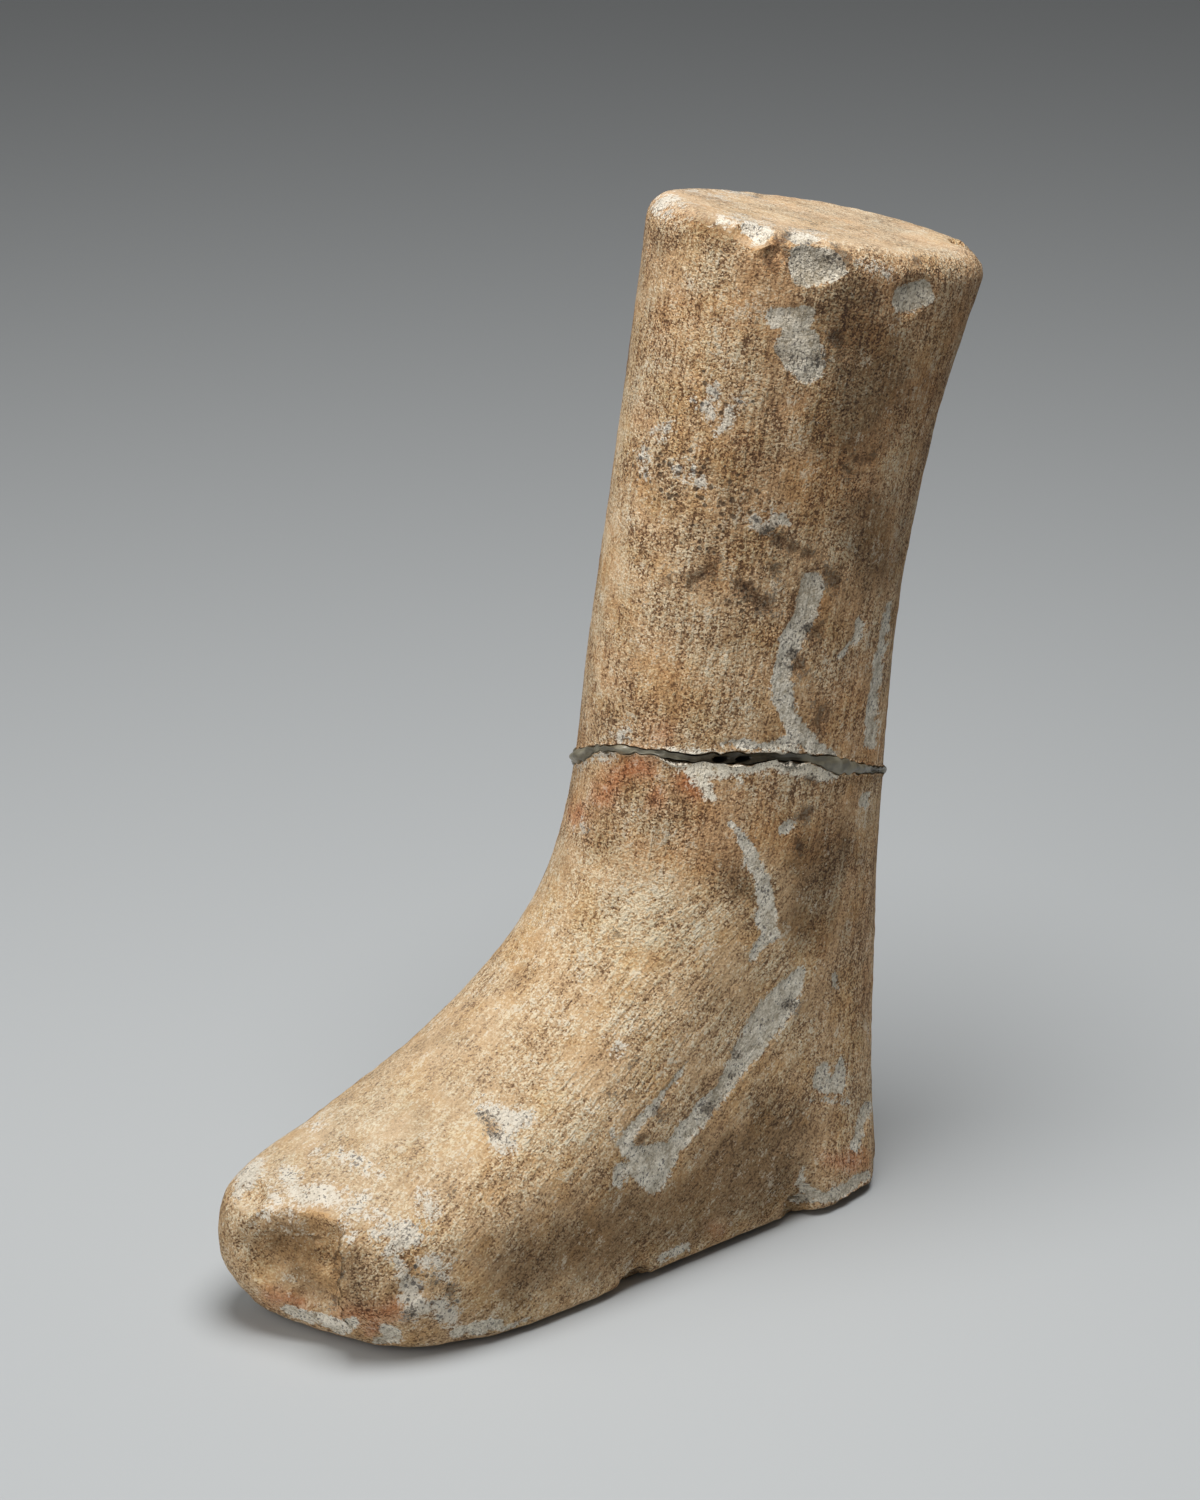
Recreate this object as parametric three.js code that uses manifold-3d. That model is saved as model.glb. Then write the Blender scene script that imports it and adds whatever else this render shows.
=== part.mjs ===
// Votive leg: a left foot and shin carved in soft limestone, broken across the shin and glued
// together again with a grey adhesive. Millimetres, +Z up. The toes point to -Y, the outer side
// of the foot faces +X, and the origin lies on the sole under the ankle.
import * as THREE from "three";
import { mergeVertices } from "three/addons/utils/BufferGeometryUtils.js";
import Module from "manifold-3d";

// Overall sizes
const HEIGHT = 300; // the cut top above the sole, measured at TOP_Y on the centre line
const TOP_Y = 47;
const TOP_FALL_BACK = 13.5; // degrees, the cut top falls towards the calf
const TOP_FALL_OUT = 3; // degrees, and a little towards the outer side
const SOLE_OVERHANG = 7; // the worn sole edge hangs over the ground by this much
const SOLE_RISE = 4; // and curves down to it from this height
const RIM_ROUNDING = 10;

// Horizontal sections of the carving from the sole up, one value in each row for each column.
// front, back, outer and inner are where the section reaches in -Y, +Y, +X and -X, and widest is
// the Y where it is widest. The others say how boxy its ends are (2 is an ellipse, more is
// squarer): the front end on the inner and on the outer side, then the back end.
const COLUMNS = ["z", "front", "back", "outer", "inner", "widest", "boxFront", "boxOuter", "boxBack"];
const SECTIONS = [
  [0, -145, 66, 37, 42, -55, 3.4, 3.4, 4.5],
  [18, -156.6, 62.5, 40.6, 43.6, -64, 3.4, 3.2, 4.5],
  [36, -157.6, 62.2, 41.6, 43.6, -60, 3.3, 2.6, 4],
  [43, -152.6, 63.2, 41.4, 43.1, -53, 3.1, 2.3, 3.7],
  [50, -136, 64.2, 41, 41.1, -42, 2.9, 2.1, 3.4],
  [68, -95.8, 66.2, 39.2, 38.6, -21, 2.4, 2, 3],
  [95, -56.3, 67.2, 37.7, 36.6, 2, 2.2, 2.05, 2.6],
  [126, -37.6, 70, 37, 36.6, 14, 2.1, 2.1, 2.3],
  [180, -28.6, 74, 38, 36.6, 24, 2, 2, 2.2],
  [235, -17.6, 86, 39.5, 38.6, 34, 2, 2, 2.2],
  [285, -7.6, 106, 42.5, 41.1, 49, 2.1, 2.1, 2.2],
  [315, -2.6, 121, 45, 43.6, 58, 2.1, 2.1, 2.2],
];

// The heel narrows towards the back, more on its inner side, and the front of the foot is cut
// askew: its outer side starts further back than the big-toe side. Both fade out with height.
const HEEL_TAPER = 0.02;
const HEEL_TAPER_INNER = 0.1;
const HEEL_TAPER_TOP = 85;
const TOE_SLANT = 0.29;
const TOE_SLANT_TOP = 132;
const TOE_SLANT_PIVOT = 0.6; // share of the outer half-width where the slant is nil

// Low on its outer side the skin swells out at the ball of the foot and at the heel: by size at
// the floor, fading up to the height top and over the reach to each side of y.
const OUTER_SWELLS = [
  { y: -84, reach: 34, size: 2.4, top: 15 },
  { y: 37, reach: 18, size: 6, top: 26 },
];

// The break runs right across the shin, higher at the front and on the outer side.
const BREAK_HEIGHT = 138; // middle of the joint at BREAK_Y on the centre line
const BREAK_Y = 17;
const BREAK_RISE_OUT = 0.31; // rise per mm towards +X
const BREAK_RISE_FRONT = 0.32; // rise per mm towards -Y
const JOINT_WIDTH = 2; // mean height of the adhesive layer
const CLEARANCE = 0.3; // air between the solids, on both faces of the adhesive

// Rise and fall of the two broken edges against the break, by angle around the shin:
// [degrees, mm], 0 at the front, 90 on the outer side, 180 at the calf.
const FOOT_EDGE = [
  [0, 1.5], [20, 0.8], [36, -0.4], [52, -1.2], [66, -0.6], [79, 1.4], [90, 0.6], [103, -1.4], [120, -0.2],
  [145, 0.7], [170, -0.8], [200, 0.9], [235, -1.2], [265, 0.6], [290, -0.4], [315, 0.5], [340, -2],
];
const SHAFT_EDGE = [
  [0, 0.8], [18, 0], [43, -1.2], [55, -0.4], [73, 0.8], [103, 0.5], [122, -0.9],
  [150, 0.3], [175, -0.9], [205, 0.8], [240, -1], [270, 0.5], [300, -0.5], [342, 0],
];

// How far the adhesive's face lies behind the stone, by angle. Negative where it was squeezed out.
const ADHESIVE_SET_BACK = [
  [0, 0.6], [8, -0.5], [13, -0.9], [18, 0.6], [32, 0.9], [44, 2.2], [52, 3.2], [70, 3.2], [80, 2],
  [92, 0.8], [98, -0.6], [112, -0.8], [122, 0.5], [136, 0.9], [146, -0.6], [160, 0.9], [190, 0.4],
  [215, -0.7], [235, 0.9], [268, 0.6], [290, -0.5], [312, 0.9], [328, 0.6], [337, -1.5], [344, -1.7],
  [352, 0.4],
];

// Damage: each hollow is egg-shaped, given by its centre, its half-sizes along X, Y and Z, and
// its turn about Z in degrees. One with a wall stops short at that distance along its own X.
const FOOT_HOLLOWS = {
  toeCut: { at: [8, -158, 24], half: [40, 14.5, 40], turn: 26, wall: 15.7 },
  toeChip: { at: [-16, -151, 46], half: [7, 6, 6], turn: 0 },
  outerToeCorner: { at: [39, -135, 25], half: [14, 8, 16], turn: 65 },
  outerToeBrow: { at: [31, -139, 47], half: [12, 6, 7], turn: 40 },
  soleStep: { at: [40, -49, 1], half: [8, 8, 5], turn: 0 },
  soleNotch: { at: [39, 16, 4], half: [7, 5, 8], turn: 0 },
  heelGap: { at: [38, 38, -4], half: [12, 22, 7], turn: 0 },
  spallFront: { at: [26, -23, 158], half: [14, 6, 6], turn: 42 },
  spallMiddle: { at: [37, -6, 155], half: [14, 6, 6], turn: 66 },
  spallOuter: { at: [41, 14, 151], half: [14, 6, 6], turn: 85 },
  soleChipInner: { at: [-45, -78, 0], half: [6, 11, 6], turn: 0 },
  heelChipInner: { at: [-32, 58, 0], half: [9, 9, 8], turn: 0 },
  edgeChipInner: { at: [-40, 8, 131], half: [7, 10, 5], turn: 0 },
};
const SHAFT_HOLLOWS = {
  rimChipFront: { at: [24, 6, 310], half: [8, 7, 7], turn: 0 },
  rimRecess: { at: [33, 5, 303], half: [8, 7, 9], turn: 55 },
  rimChipOuter: { at: [36.7, 18, 301], half: [3.9, 11, 9.5], turn: -26 },
  rimChipBack: { at: [44.8, 51, 284], half: [3.6, 12, 10], turn: 0 },
  scarOuter: { at: [44, 9, 274], half: [12, 10, 12], turn: 60 },
  rimWornBack: { at: [25, 100, 291], half: [14, 14, 10], turn: 0 },
  wornFront: { at: [-13, -10, 316], half: [14, 12, 13], turn: 0 },
  rimChipInner: { at: [-48, 38, 306], half: [10, 13, 9], turn: 0 },
  rimChipCalf: { at: [-12, 118, 291], half: [15, 9, 9], turn: 0 },
};
// Two small holes left open in the adhesive, on the outer front of the shin
const ADHESIVE_HOLES = {
  first: { at: [27.5, -9.3, 154], half: [3, 2.2, 1], turn: 0 },
  second: { at: [30.3, -2.8, 153.3], half: [3, 2.6, 1], turn: 0 },
};

// Fineness of the solids
const SIDES = 72;
const SOLE_STEPS = 3;
const RIM_STEPS = 4;
const SHAFT_STEPS = 13;
const ADHESIVE_SIDES = 96;
const ADHESIVE_STEPS = 4;
const HOLLOW_SIDES = 18;
// Level of each ring of the foot above the sole's rounding; the last ones lean into the break
const FOOT_LEVELS = [12, 20, 28, 34, 38, 42, 46, 51, 57, 64, 73, 84, 96, 108, 119, 129, BREAK_HEIGHT];
const LEAN_START = 60; // below this height the foot's rings are level

const FULL_TURN = Math.PI * 2;
const clamp = (value, low, high) => Math.min(Math.max(value, low), high);
const tangent = (degrees) => Math.tan(THREE.MathUtils.degToRad(degrees));

const wasm = await Module();
wasm.setup();

// Cubic curve through (x, y) points, its slope at each one taken from its two neighbours.
function curveThrough(points, x) {
  const last = points.length - 1;
  const at = clamp(x, points[0][0], points[last][0]);
  let i = 0;
  while (i < last - 1 && at >= points[i + 1][0]) i += 1;
  const slope = (k) => {
    const [x0, y0] = points[Math.max(k - 1, 0)];
    const [x1, y1] = points[Math.min(k + 1, last)];
    return (y1 - y0) / (x1 - x0);
  };
  const [x0, y0] = points[i];
  const [x1, y1] = points[i + 1];
  const h = x1 - x0;
  const t = (at - x0) / h;
  return (
    (2 * t ** 3 - 3 * t ** 2 + 1) * y0 +
    (t ** 3 - 2 * t ** 2 + t) * h * slope(i) +
    (-2 * t ** 3 + 3 * t ** 2) * y1 +
    (t ** 3 - t ** 2) * h * slope(i + 1)
  );
}

// The same curve for a value that repeats around the shin.
function curveAround(points, angle) {
  const degrees = THREE.MathUtils.euclideanModulo(THREE.MathUtils.radToDeg(angle), 360);
  const before = points.slice(-2).map(([at, value]) => [at - 360, value]);
  const after = points.slice(0, 2).map(([at, value]) => [at + 360, value]);
  return curveThrough([...before, ...points, ...after], degrees);
}

const sectionCurves = Object.fromEntries(
  COLUMNS.map((name, k) => [name, SECTIONS.map((section) => [section[0], section[k]])]),
);
const sectionAt = (name, z) => curveThrough(sectionCurves[name], z);

// The point of the carving's skin at an angle and height: a section is a unit superellipse
// stretched to its four reaches, narrowed at the heel and slanted at the toes.
function skin(angle, z, inset) {
  const front = sectionAt("front", z);
  const back = sectionAt("back", z);
  const outer = sectionAt("outer", z);
  const widest = sectionAt("widest", z);
  const ahead = Math.cos(angle);
  const aside = Math.sin(angle);
  const boxFront = sectionAt(aside > 0 ? "boxOuter" : "boxFront", z);
  const boxBack = sectionAt("boxBack", z);
  const power = (boxFront + boxBack) / 2 + ((boxFront - boxBack) / 2) * ahead;
  const stretch = (Math.abs(ahead) ** power + Math.abs(aside) ** power) ** (-1 / power);
  const halfWidth = (aside > 0 ? outer : sectionAt("inner", z)) - inset;
  const halfLength = (ahead > 0 ? widest - front : back - widest) - inset;
  let x = halfWidth * aside * stretch;
  let y = widest - halfLength * ahead * stretch;
  const heelward = clamp((y - widest) / (back - widest), 0, 1);
  const taper = aside > 0 ? HEEL_TAPER : HEEL_TAPER_INNER;
  x *= 1 - taper * clamp(1 - z / HEEL_TAPER_TOP, 0, 1) * heelward;
  for (const swell of OUTER_SWELLS) {
    const along = clamp((y - swell.y) / swell.reach, -1, 1);
    const low = clamp(1 - z / swell.top, 0, 1);
    x += swell.size * clamp(2 * aside, 0, 1) * (1 - along ** 4) * low;
  }
  const toeward = clamp((widest - y) / (widest - front), 0, 1);
  y += TOE_SLANT * toeward ** 2 * (x + outer * TOE_SLANT_PIVOT) * clamp(1 - z / TOE_SLANT_TOP, 0, 1);
  return [x, y];
}

// Height of the cut top and of the break over any point.
function topAt(x, y) {
  return HEIGHT - tangent(TOP_FALL_BACK) * (y - TOP_Y) - tangent(TOP_FALL_OUT) * x;
}
function breakAt(x, y) {
  return BREAK_HEIGHT + BREAK_RISE_OUT * x - BREAK_RISE_FRONT * (y - BREAK_Y);
}
const footBreakAt = (angle, x, y) => breakAt(x, y) - JOINT_WIDTH / 2 + curveAround(FOOT_EDGE, angle);
const shaftBreakAt = (angle, x, y) => breakAt(x, y) + JOINT_WIDTH / 2 + curveAround(SHAFT_EDGE, angle);

// How far a rounded edge steps in, at a distance from the flat face that it meets: a quarter of
// an ellipse, overhang wide and rise high.
function roundedInset(distance, overhang, rise) {
  const rest = 1 - clamp(distance / rise, 0, 1);
  return overhang * (1 - Math.sqrt(1 - rest ** 2));
}

// A ring of points on the skin. heightAt gives each point's height from its angle and its place,
// and the place follows from the height, so the two are settled in turns.
function skinRing(sides, heightAt, insetAt) {
  const turns = 12;
  return Array.from({ length: sides }, (_, i) => {
    const angle = (i / sides) * FULL_TURN;
    let x = 0;
    let y = TOP_Y;
    for (let turn = 0; turn < turns; turn += 1) {
      const height = heightAt(angle, x, y);
      [x, y] = skin(angle, height, insetAt(angle, x, y, height));
    }
    return new THREE.Vector3(x, y, heightAt(angle, x, y));
  });
}

// A closed body from a stack of rings, each end closed by a fan around the given middle height.
function ringBody(rings, bottomAt, topMiddleAt) {
  const sides = rings[0].length;
  const points = rings.flat();
  const middle = (ring, heightAt) => {
    const centre = ring.reduce((sum, point) => sum.add(point), new THREE.Vector3());
    centre.divideScalar(sides);
    centre.z = heightAt(centre.x, centre.y);
    return centre;
  };
  const bottom = points.length;
  points.push(middle(rings[0], bottomAt));
  const top = points.length;
  points.push(middle(rings.at(-1), topMiddleAt));
  const triangles = [];
  const topStart = (rings.length - 1) * sides;
  for (let i = 0; i < sides; i += 1) {
    const next = (i + 1) % sides;
    triangles.push(bottom, next, i);
    triangles.push(top, topStart + i, topStart + next);
    for (let ring = 0; ring < rings.length - 1; ring += 1) {
      const low = ring * sides;
      const high = low + sides;
      triangles.push(low + i, low + next, high + next);
      triangles.push(low + i, high + next, high + i);
    }
  }
  const geometry = new THREE.BufferGeometry().setFromPoints(points);
  geometry.setIndex(triangles);
  return geometry;
}

function toSolid(geometry) {
  const bare = geometry.clone();
  bare.deleteAttribute("normal");
  bare.deleteAttribute("uv");
  const merged = mergeVertices(bare, 1e-5);
  const vertProperties = new Float32Array(merged.attributes.position.array);
  const triVerts = new Uint32Array(merged.index.array);
  return new wasm.Manifold(new wasm.Mesh({ numProp: 3, vertProperties, triVerts }));
}

// One egg-shaped hollow as a stretched sphere, cut off flat at its wall if it has one.
function hollow({ at, half, turn, wall }) {
  const radians = THREE.MathUtils.degToRad(turn);
  const geometry = new THREE.SphereGeometry(1, HOLLOW_SIDES, HOLLOW_SIDES / 2);
  geometry.scale(...half);
  geometry.rotateZ(radians);
  geometry.translate(...at);
  const solid = toSolid(geometry);
  if (wall === undefined) return solid;
  const backward = [-Math.cos(radians), -Math.sin(radians), 0];
  return solid.trimByPlane(backward, backward[0] * at[0] + backward[1] * at[1] - wall);
}

function withHollows(geometry, hollows) {
  let solid = toSolid(geometry);
  for (const one of Object.values(hollows)) solid = solid.subtract(hollow(one));
  const mesh = solid.getMesh();
  const cut = new THREE.BufferGeometry();
  cut.setAttribute("position", new THREE.BufferAttribute(mesh.vertProperties, 3));
  cut.setIndex(new THREE.BufferAttribute(mesh.triVerts, 1));
  return cut;
}

// Lower fragment: the foot up to the break.
function footGeometry() {
  const soleRings = Array.from({ length: SOLE_STEPS + 1 }, (_, i) => {
    const height = SOLE_RISE * (1 - Math.cos(((i / SOLE_STEPS) * Math.PI) / 2));
    return skinRing(SIDES, () => height, () => roundedInset(height, SOLE_OVERHANG, SOLE_RISE));
  });
  const wallRings = FOOT_LEVELS.map((level) => {
    const lean = clamp((level - LEAN_START) / (BREAK_HEIGHT - LEAN_START), 0, 1) ** 2;
    const heightAt = (angle, x, y) => level + lean * (footBreakAt(angle, x, y) - BREAK_HEIGHT);
    return skinRing(SIDES, heightAt, () => 0);
  });
  const breakMiddle = (x, y) => breakAt(x, y) - JOINT_WIDTH / 2;
  return ringBody([...soleRings, ...wallRings], () => 0, breakMiddle);
}

// Upper fragment: the shin from the break to the cut top.
function shaftGeometry() {
  const wallRings = Array.from({ length: SHAFT_STEPS + 1 }, (_, i) => {
    const share = i / SHAFT_STEPS;
    const heightAt = (angle, x, y) => {
      const low = shaftBreakAt(angle, x, y);
      return low + share * (topAt(x, y) - RIM_ROUNDING - low);
    };
    return skinRing(SIDES, heightAt, () => 0);
  });
  const rimRings = Array.from({ length: RIM_STEPS }, (_, i) => {
    const below = RIM_ROUNDING * (1 - Math.sin((((i + 1) / RIM_STEPS) * Math.PI) / 2));
    const heightAt = (angle, x, y) => topAt(x, y) - below;
    return skinRing(SIDES, heightAt, () => roundedInset(below, RIM_ROUNDING, RIM_ROUNDING));
  });
  const breakMiddle = (x, y) => breakAt(x, y) + JOINT_WIDTH / 2;
  return ringBody([...wallRings, ...rimRings], breakMiddle, topAt);
}

// The adhesive between the two broken faces, its free face set back or swollen out.
function adhesiveGeometry() {
  const lowAt = (angle, x, y) => footBreakAt(angle, x, y) + CLEARANCE;
  const highAt = (angle, x, y) => shaftBreakAt(angle, x, y) - CLEARANCE;
  const rings = Array.from({ length: ADHESIVE_STEPS + 1 }, (_, i) => {
    const share = i / ADHESIVE_STEPS;
    const swell = Math.sin(share * Math.PI);
    const heightAt = (angle, x, y) => {
      const low = lowAt(angle, x, y);
      return low + share * (highAt(angle, x, y) - low);
    };
    const insetAt = (angle) => {
      const setBack = curveAround(ADHESIVE_SET_BACK, angle);
      return setBack > 0 ? setBack : setBack * swell;
    };
    return skinRing(ADHESIVE_SIDES, heightAt, insetAt);
  });
  const bottomMiddle = (x, y) => breakAt(x, y) - JOINT_WIDTH / 2 + CLEARANCE;
  const topMiddle = (x, y) => breakAt(x, y) + JOINT_WIDTH / 2 - CLEARANCE;
  return ringBody(rings, bottomMiddle, topMiddle);
}

const stone = new THREE.MeshStandardMaterial({ color: 0xb3946a, roughness: 0.92, metalness: 0 });
const adhesive = new THREE.MeshStandardMaterial({ color: 0x7f7f76, roughness: 0.45, metalness: 0 });

function piece(name, geometry, material) {
  const mesh = new THREE.Mesh(geometry, material);
  mesh.name = name;
  return mesh;
}

const leg = new THREE.Group();
leg.name = "votive_leg";
leg.add(piece("foot", withHollows(footGeometry(), FOOT_HOLLOWS), stone));
leg.add(piece("joint_adhesive", withHollows(adhesiveGeometry(), ADHESIVE_HOLES), adhesive));
leg.add(piece("leg_shaft", withHollows(shaftGeometry(), SHAFT_HOLLOWS), stone));

export default leg;
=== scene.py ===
"""Votive leg: a left foot and shin carved in soft limestone, broken across the shin and glued.

The script is laid out as an add-on. Run as a script it builds the two stone fragments, the
adhesive between them and a plain studio, with the camera at the photograph's viewing angle.
Sizes in the tables are millimetres; the toes point to -Y and the outer side faces +X.
"""

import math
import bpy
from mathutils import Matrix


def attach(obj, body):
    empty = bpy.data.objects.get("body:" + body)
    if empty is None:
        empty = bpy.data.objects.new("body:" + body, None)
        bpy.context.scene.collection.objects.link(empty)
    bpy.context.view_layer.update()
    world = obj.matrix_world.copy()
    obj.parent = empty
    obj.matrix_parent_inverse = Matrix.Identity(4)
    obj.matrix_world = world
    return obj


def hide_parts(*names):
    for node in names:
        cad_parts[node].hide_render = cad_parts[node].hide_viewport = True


bl_info = {
    "name": "Votive Leg",
    "version": (1, 0, 0),
    "blender": (4, 5, 0),
    "location": "View3D > Sidebar > Votive Leg",
    "description": "A carved limestone votive leg, broken, glued and weathered, in a plain studio",
    "category": "Add Mesh",
}

import bpy
import numpy as np
from bpy.props import FloatProperty, FloatVectorProperty, PointerProperty
from bpy.types import Operator, Panel, PropertyGroup
from mathutils import Vector

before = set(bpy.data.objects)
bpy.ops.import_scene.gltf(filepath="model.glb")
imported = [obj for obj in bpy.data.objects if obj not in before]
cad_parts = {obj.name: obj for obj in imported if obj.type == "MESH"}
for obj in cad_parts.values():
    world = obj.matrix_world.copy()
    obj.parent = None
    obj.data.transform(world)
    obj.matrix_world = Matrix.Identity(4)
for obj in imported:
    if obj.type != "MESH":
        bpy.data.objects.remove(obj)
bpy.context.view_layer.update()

MM = 0.001

# Horizontal sections of the carving from the sole up: height, reach to the front (-Y), back,
# outer side (+X) and inner side, the Y where it is widest, and how boxy the ends are: the front
# end on the inner and on the outer side, then the back end.
SECTIONS = np.array([
    [0, -145, 66, 37, 42, -55, 3.4, 3.4, 4.5],
    [18, -156.6, 62.5, 40.6, 43.6, -64, 3.4, 3.2, 4.5],
    [36, -157.6, 62.2, 41.6, 43.6, -60, 3.3, 2.6, 4],
    [43, -152.6, 63.2, 41.4, 43.1, -53, 3.1, 2.3, 3.7],
    [50, -136, 64.2, 41, 41.1, -42, 2.9, 2.1, 3.4],
    [68, -95.8, 66.2, 39.2, 38.6, -21, 2.4, 2, 3],
    [95, -56.3, 67.2, 37.7, 36.6, 2, 2.2, 2.05, 2.6],
    [126, -37.6, 70, 37, 36.6, 14, 2.1, 2.1, 2.3],
    [180, -28.6, 74, 38, 36.6, 24, 2, 2, 2.2],
    [235, -17.6, 86, 39.5, 38.6, 34, 2, 2, 2.2],
    [285, -7.6, 106, 42.5, 41.1, 49, 2.1, 2.1, 2.2],
    [315, -2.6, 121, 45, 43.6, 58, 2.1, 2.1, 2.2],
])
HEEL_TAPER, HEEL_TAPER_INNER, HEEL_TAPER_TOP = 0.02, 0.1, 85
TOE_SLANT, TOE_SLANT_TOP, TOE_SLANT_PIVOT = 0.29, 132, 0.6
# Swells low on the outer side, at the ball of the foot and at the heel: Y, reach to each side of
# it, size at the floor and the height at which it has faded
OUTER_SWELLS = [(-84, 34, 2.4, 15), (37, 18, 6, 26)]
TOP_Y = 47

# The break rises towards the outer side and the front; its edges rise and fall around the shin
BREAK_HEIGHT, BREAK_Y = 138, 17
BREAK_RISE_OUT, BREAK_RISE_FRONT = 0.31, 0.32
FOOT_EDGE = [
    (0, 1.5), (20, 0.8), (36, -0.4), (52, -1.2), (66, -0.6), (79, 1.4), (90, 0.6), (103, -1.4),
    (120, -0.2), (145, 0.7), (170, -0.8), (200, 0.9), (235, -1.2), (265, 0.6), (290, -0.4),
    (315, 0.5), (340, -2),
]
SHAFT_EDGE = [
    (0, 0.8), (18, 0), (43, -1.2), (55, -0.4), (73, 0.8), (103, 0.5), (122, -0.9), (150, 0.3),
    (175, -0.9), (205, 0.8), (240, -1), (270, 0.5), (300, -0.5), (342, 0),
]
ADHESIVE_SET_BACK = [
    (0, 0.6), (8, -0.5), (13, -0.9), (18, 0.6), (32, 0.9), (44, 2.2), (52, 3.2), (70, 3.2), (80, 2),
    (92, 0.8), (98, -0.6), (112, -0.8), (122, 0.5), (136, 0.9), (146, -0.6), (160, 0.9), (190, 0.4),
    (215, -0.7), (235, 0.9), (268, 0.6), (290, -0.5), (312, 0.9), (328, 0.6), (337, -1.5),
    (344, -1.7), (352, 0.4),
]

# Egg-shaped hollows left by chips: centre, half-sizes, turn about Z in degrees, and for some a
# wall: the distance along the hollow's own X where it stops short. The three spalls are about
# 1 mm shallower than in the solids, so that the pale band in them catches the light
FOOT_HOLLOWS = {
    "toe cut": ((8, -158, 24), (40, 14.5, 40), 26, 15.7),
    "toe chip": ((-16, -151, 46), (7, 6, 6), 0),
    "outer toe corner": ((39, -135, 25), (14, 8, 16), 65),
    "outer toe brow": ((31, -139, 47), (12, 6, 7), 40),
    "sole step": ((40, -49, 1), (8, 8, 5), 0),
    "sole notch": ((39, 16, 4), (7, 5, 8), 0),
    "heel gap": ((38, 38, -4), (12, 22, 7), 0),
    "spall front": ((26.5, -23.8, 160.5), (14, 5.6, 8.5), 42),
    "spall middle": ((37.5, -6.2, 158.5), (14, 6, 8.5), 66),
    "spall outer": ((41.6, 14, 154), (14, 6, 8.5), 85),
    "sole chip inner": ((-45, -78, 0), (6, 11, 6), 0),
    "heel chip inner": ((-32, 58, 0), (9, 9, 8), 0),
    "edge chip inner": ((-40, 8, 131), (7, 10, 5), 0),
}
SHAFT_HOLLOWS = {
    "rim chip front": ((24, 6, 310), (8, 7, 7), 0),
    "rim recess": ((33, 5, 303), (8, 7, 9), 55),
    "rim chip outer": ((36.7, 18, 301), (3.9, 11, 9.5), -26),
    "rim chip back": ((44.8, 51, 284), (3.6, 12, 10), 0),
    "scar outer": ((44, 9, 274), (12, 10, 12), 60),
    "rim worn back": ((25, 100, 291), (14, 14, 10), 0),
    "worn front": ((-13, -10, 316), (14, 12, 13), 0),
    "rim chip inner": ((-48, 38, 306), (10, 13, 9), 0),
    "rim chip calf": ((-12, 118, 291), (15, 9, 9), 0),
}
ADHESIVE_HOLES = {
    "first": ((27.5, -9.3, 154), (3, 2.2, 1), 0),
    "second": ((30.3, -2.8, 153.3), (3, 2.6, 1), 0),
}

# Fineness of the meshes: points around each piece and the spacing of its rows, in mm
FOOT_SIDES, FOOT_SPACING = 440, 1.15
SHAFT_SIDES, SHAFT_SPACING = 300, 0.95
ADHESIVE_SIDES, ADHESIVE_ROWS = 480, 16
HIDDEN_SPACING = 4  # on faces that nobody sees
SOLE_ROWS, EDGE_ROWS, RIM_ROWS = 12, 5, 24  # rows tried on each rounding
WALL_ROWS, PROFILE_SIDES = 500, 24  # rows and directions tried to even out the spacing
EDGE_SHARE = 0.01  # share of the shin's height in which its broken edge is rounded
LEAN_START = 60  # below this height the foot's rings are level
SETTLE_TURNS = 12
LATTICE = 32  # random values along each side of a noise lattice

# The broken edges, in mm: their rounding, how far they close over the adhesive, and the height
# and number of the small jags around the shin
EDGE_WEAR, EDGE_LIP = 0.25, 0.35
JAG_HEIGHT, JAG_COUNT = 0.5, 150

# The adhesive, in mm: its reach past the edges, further down and up where it was squeezed out,
# how much a recessed face curls, its step behind the stone, and the lumps in it
ADHESIVE_REACH, BEAD_DOWN, BEAD_UP = 0.1, 0.3, 0.2
RECESS_CURL, FACE_STEP = 0.35, 0.1
LUMP_HEIGHT, LUMP_LIMIT, LUMP_SIZE = 0.5, 0.35, 4.5
BEAD_SWELL = 0.6  # swelling at which a bead is full
HOLE_DEPTH = 0.5  # from here on a hole is wholly darkened: painted shade and dirt
RECESS_DEPTH, RECESS_SPAN = 0.8, 1.6  # where the darkening of a recess, painted shade and dirt, begins, and how it deepens
RECESS_SHADE_AND_DIRT = 0.6  # share of painted shade and dirt in a recess

# Depths of the wear, in mm
BROAD_WEAR, UNEVEN_WEAR, TOOTH_WEAR, STROKE_WEAR = 0.35, 0.25, 0.1, 0.16
SCAR_DEPTH, SCAR_TOOTH, DARK_DEPTH = 0.5, 0.26, 0.5
PIT_DEPTH, PIT_SPACING, PIT_RADIUS = 0.55, 4.6, 1.7
HOLLOW_ROUGHNESS = 0.1  # share of a hollow's size

# The instep lies in front of this Y and below this height and fades in over the blend, in mm. The
# painted shade on the shin's outer side, which faces away from the side lamp, starts at this share
# of +X in its normal and at this height, each with the span over which it fades in
INSTEP_Y, INSTEP_HEIGHT, INSTEP_BLEND = 34, 132, 26
OUTER_SHADE_FACING, OUTER_SHADE_FACING_SPAN = 0.35, 0.5
OUTER_SHADE_HEIGHT, OUTER_SHADE_HEIGHT_SPAN = 165, 60

# Lean of the rasp strokes about X, from upright
SHAFT_STROKE, INSTEP_STROKE = math.radians(-11), math.radians(-54)
STROKE_STRETCH = 8

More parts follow.
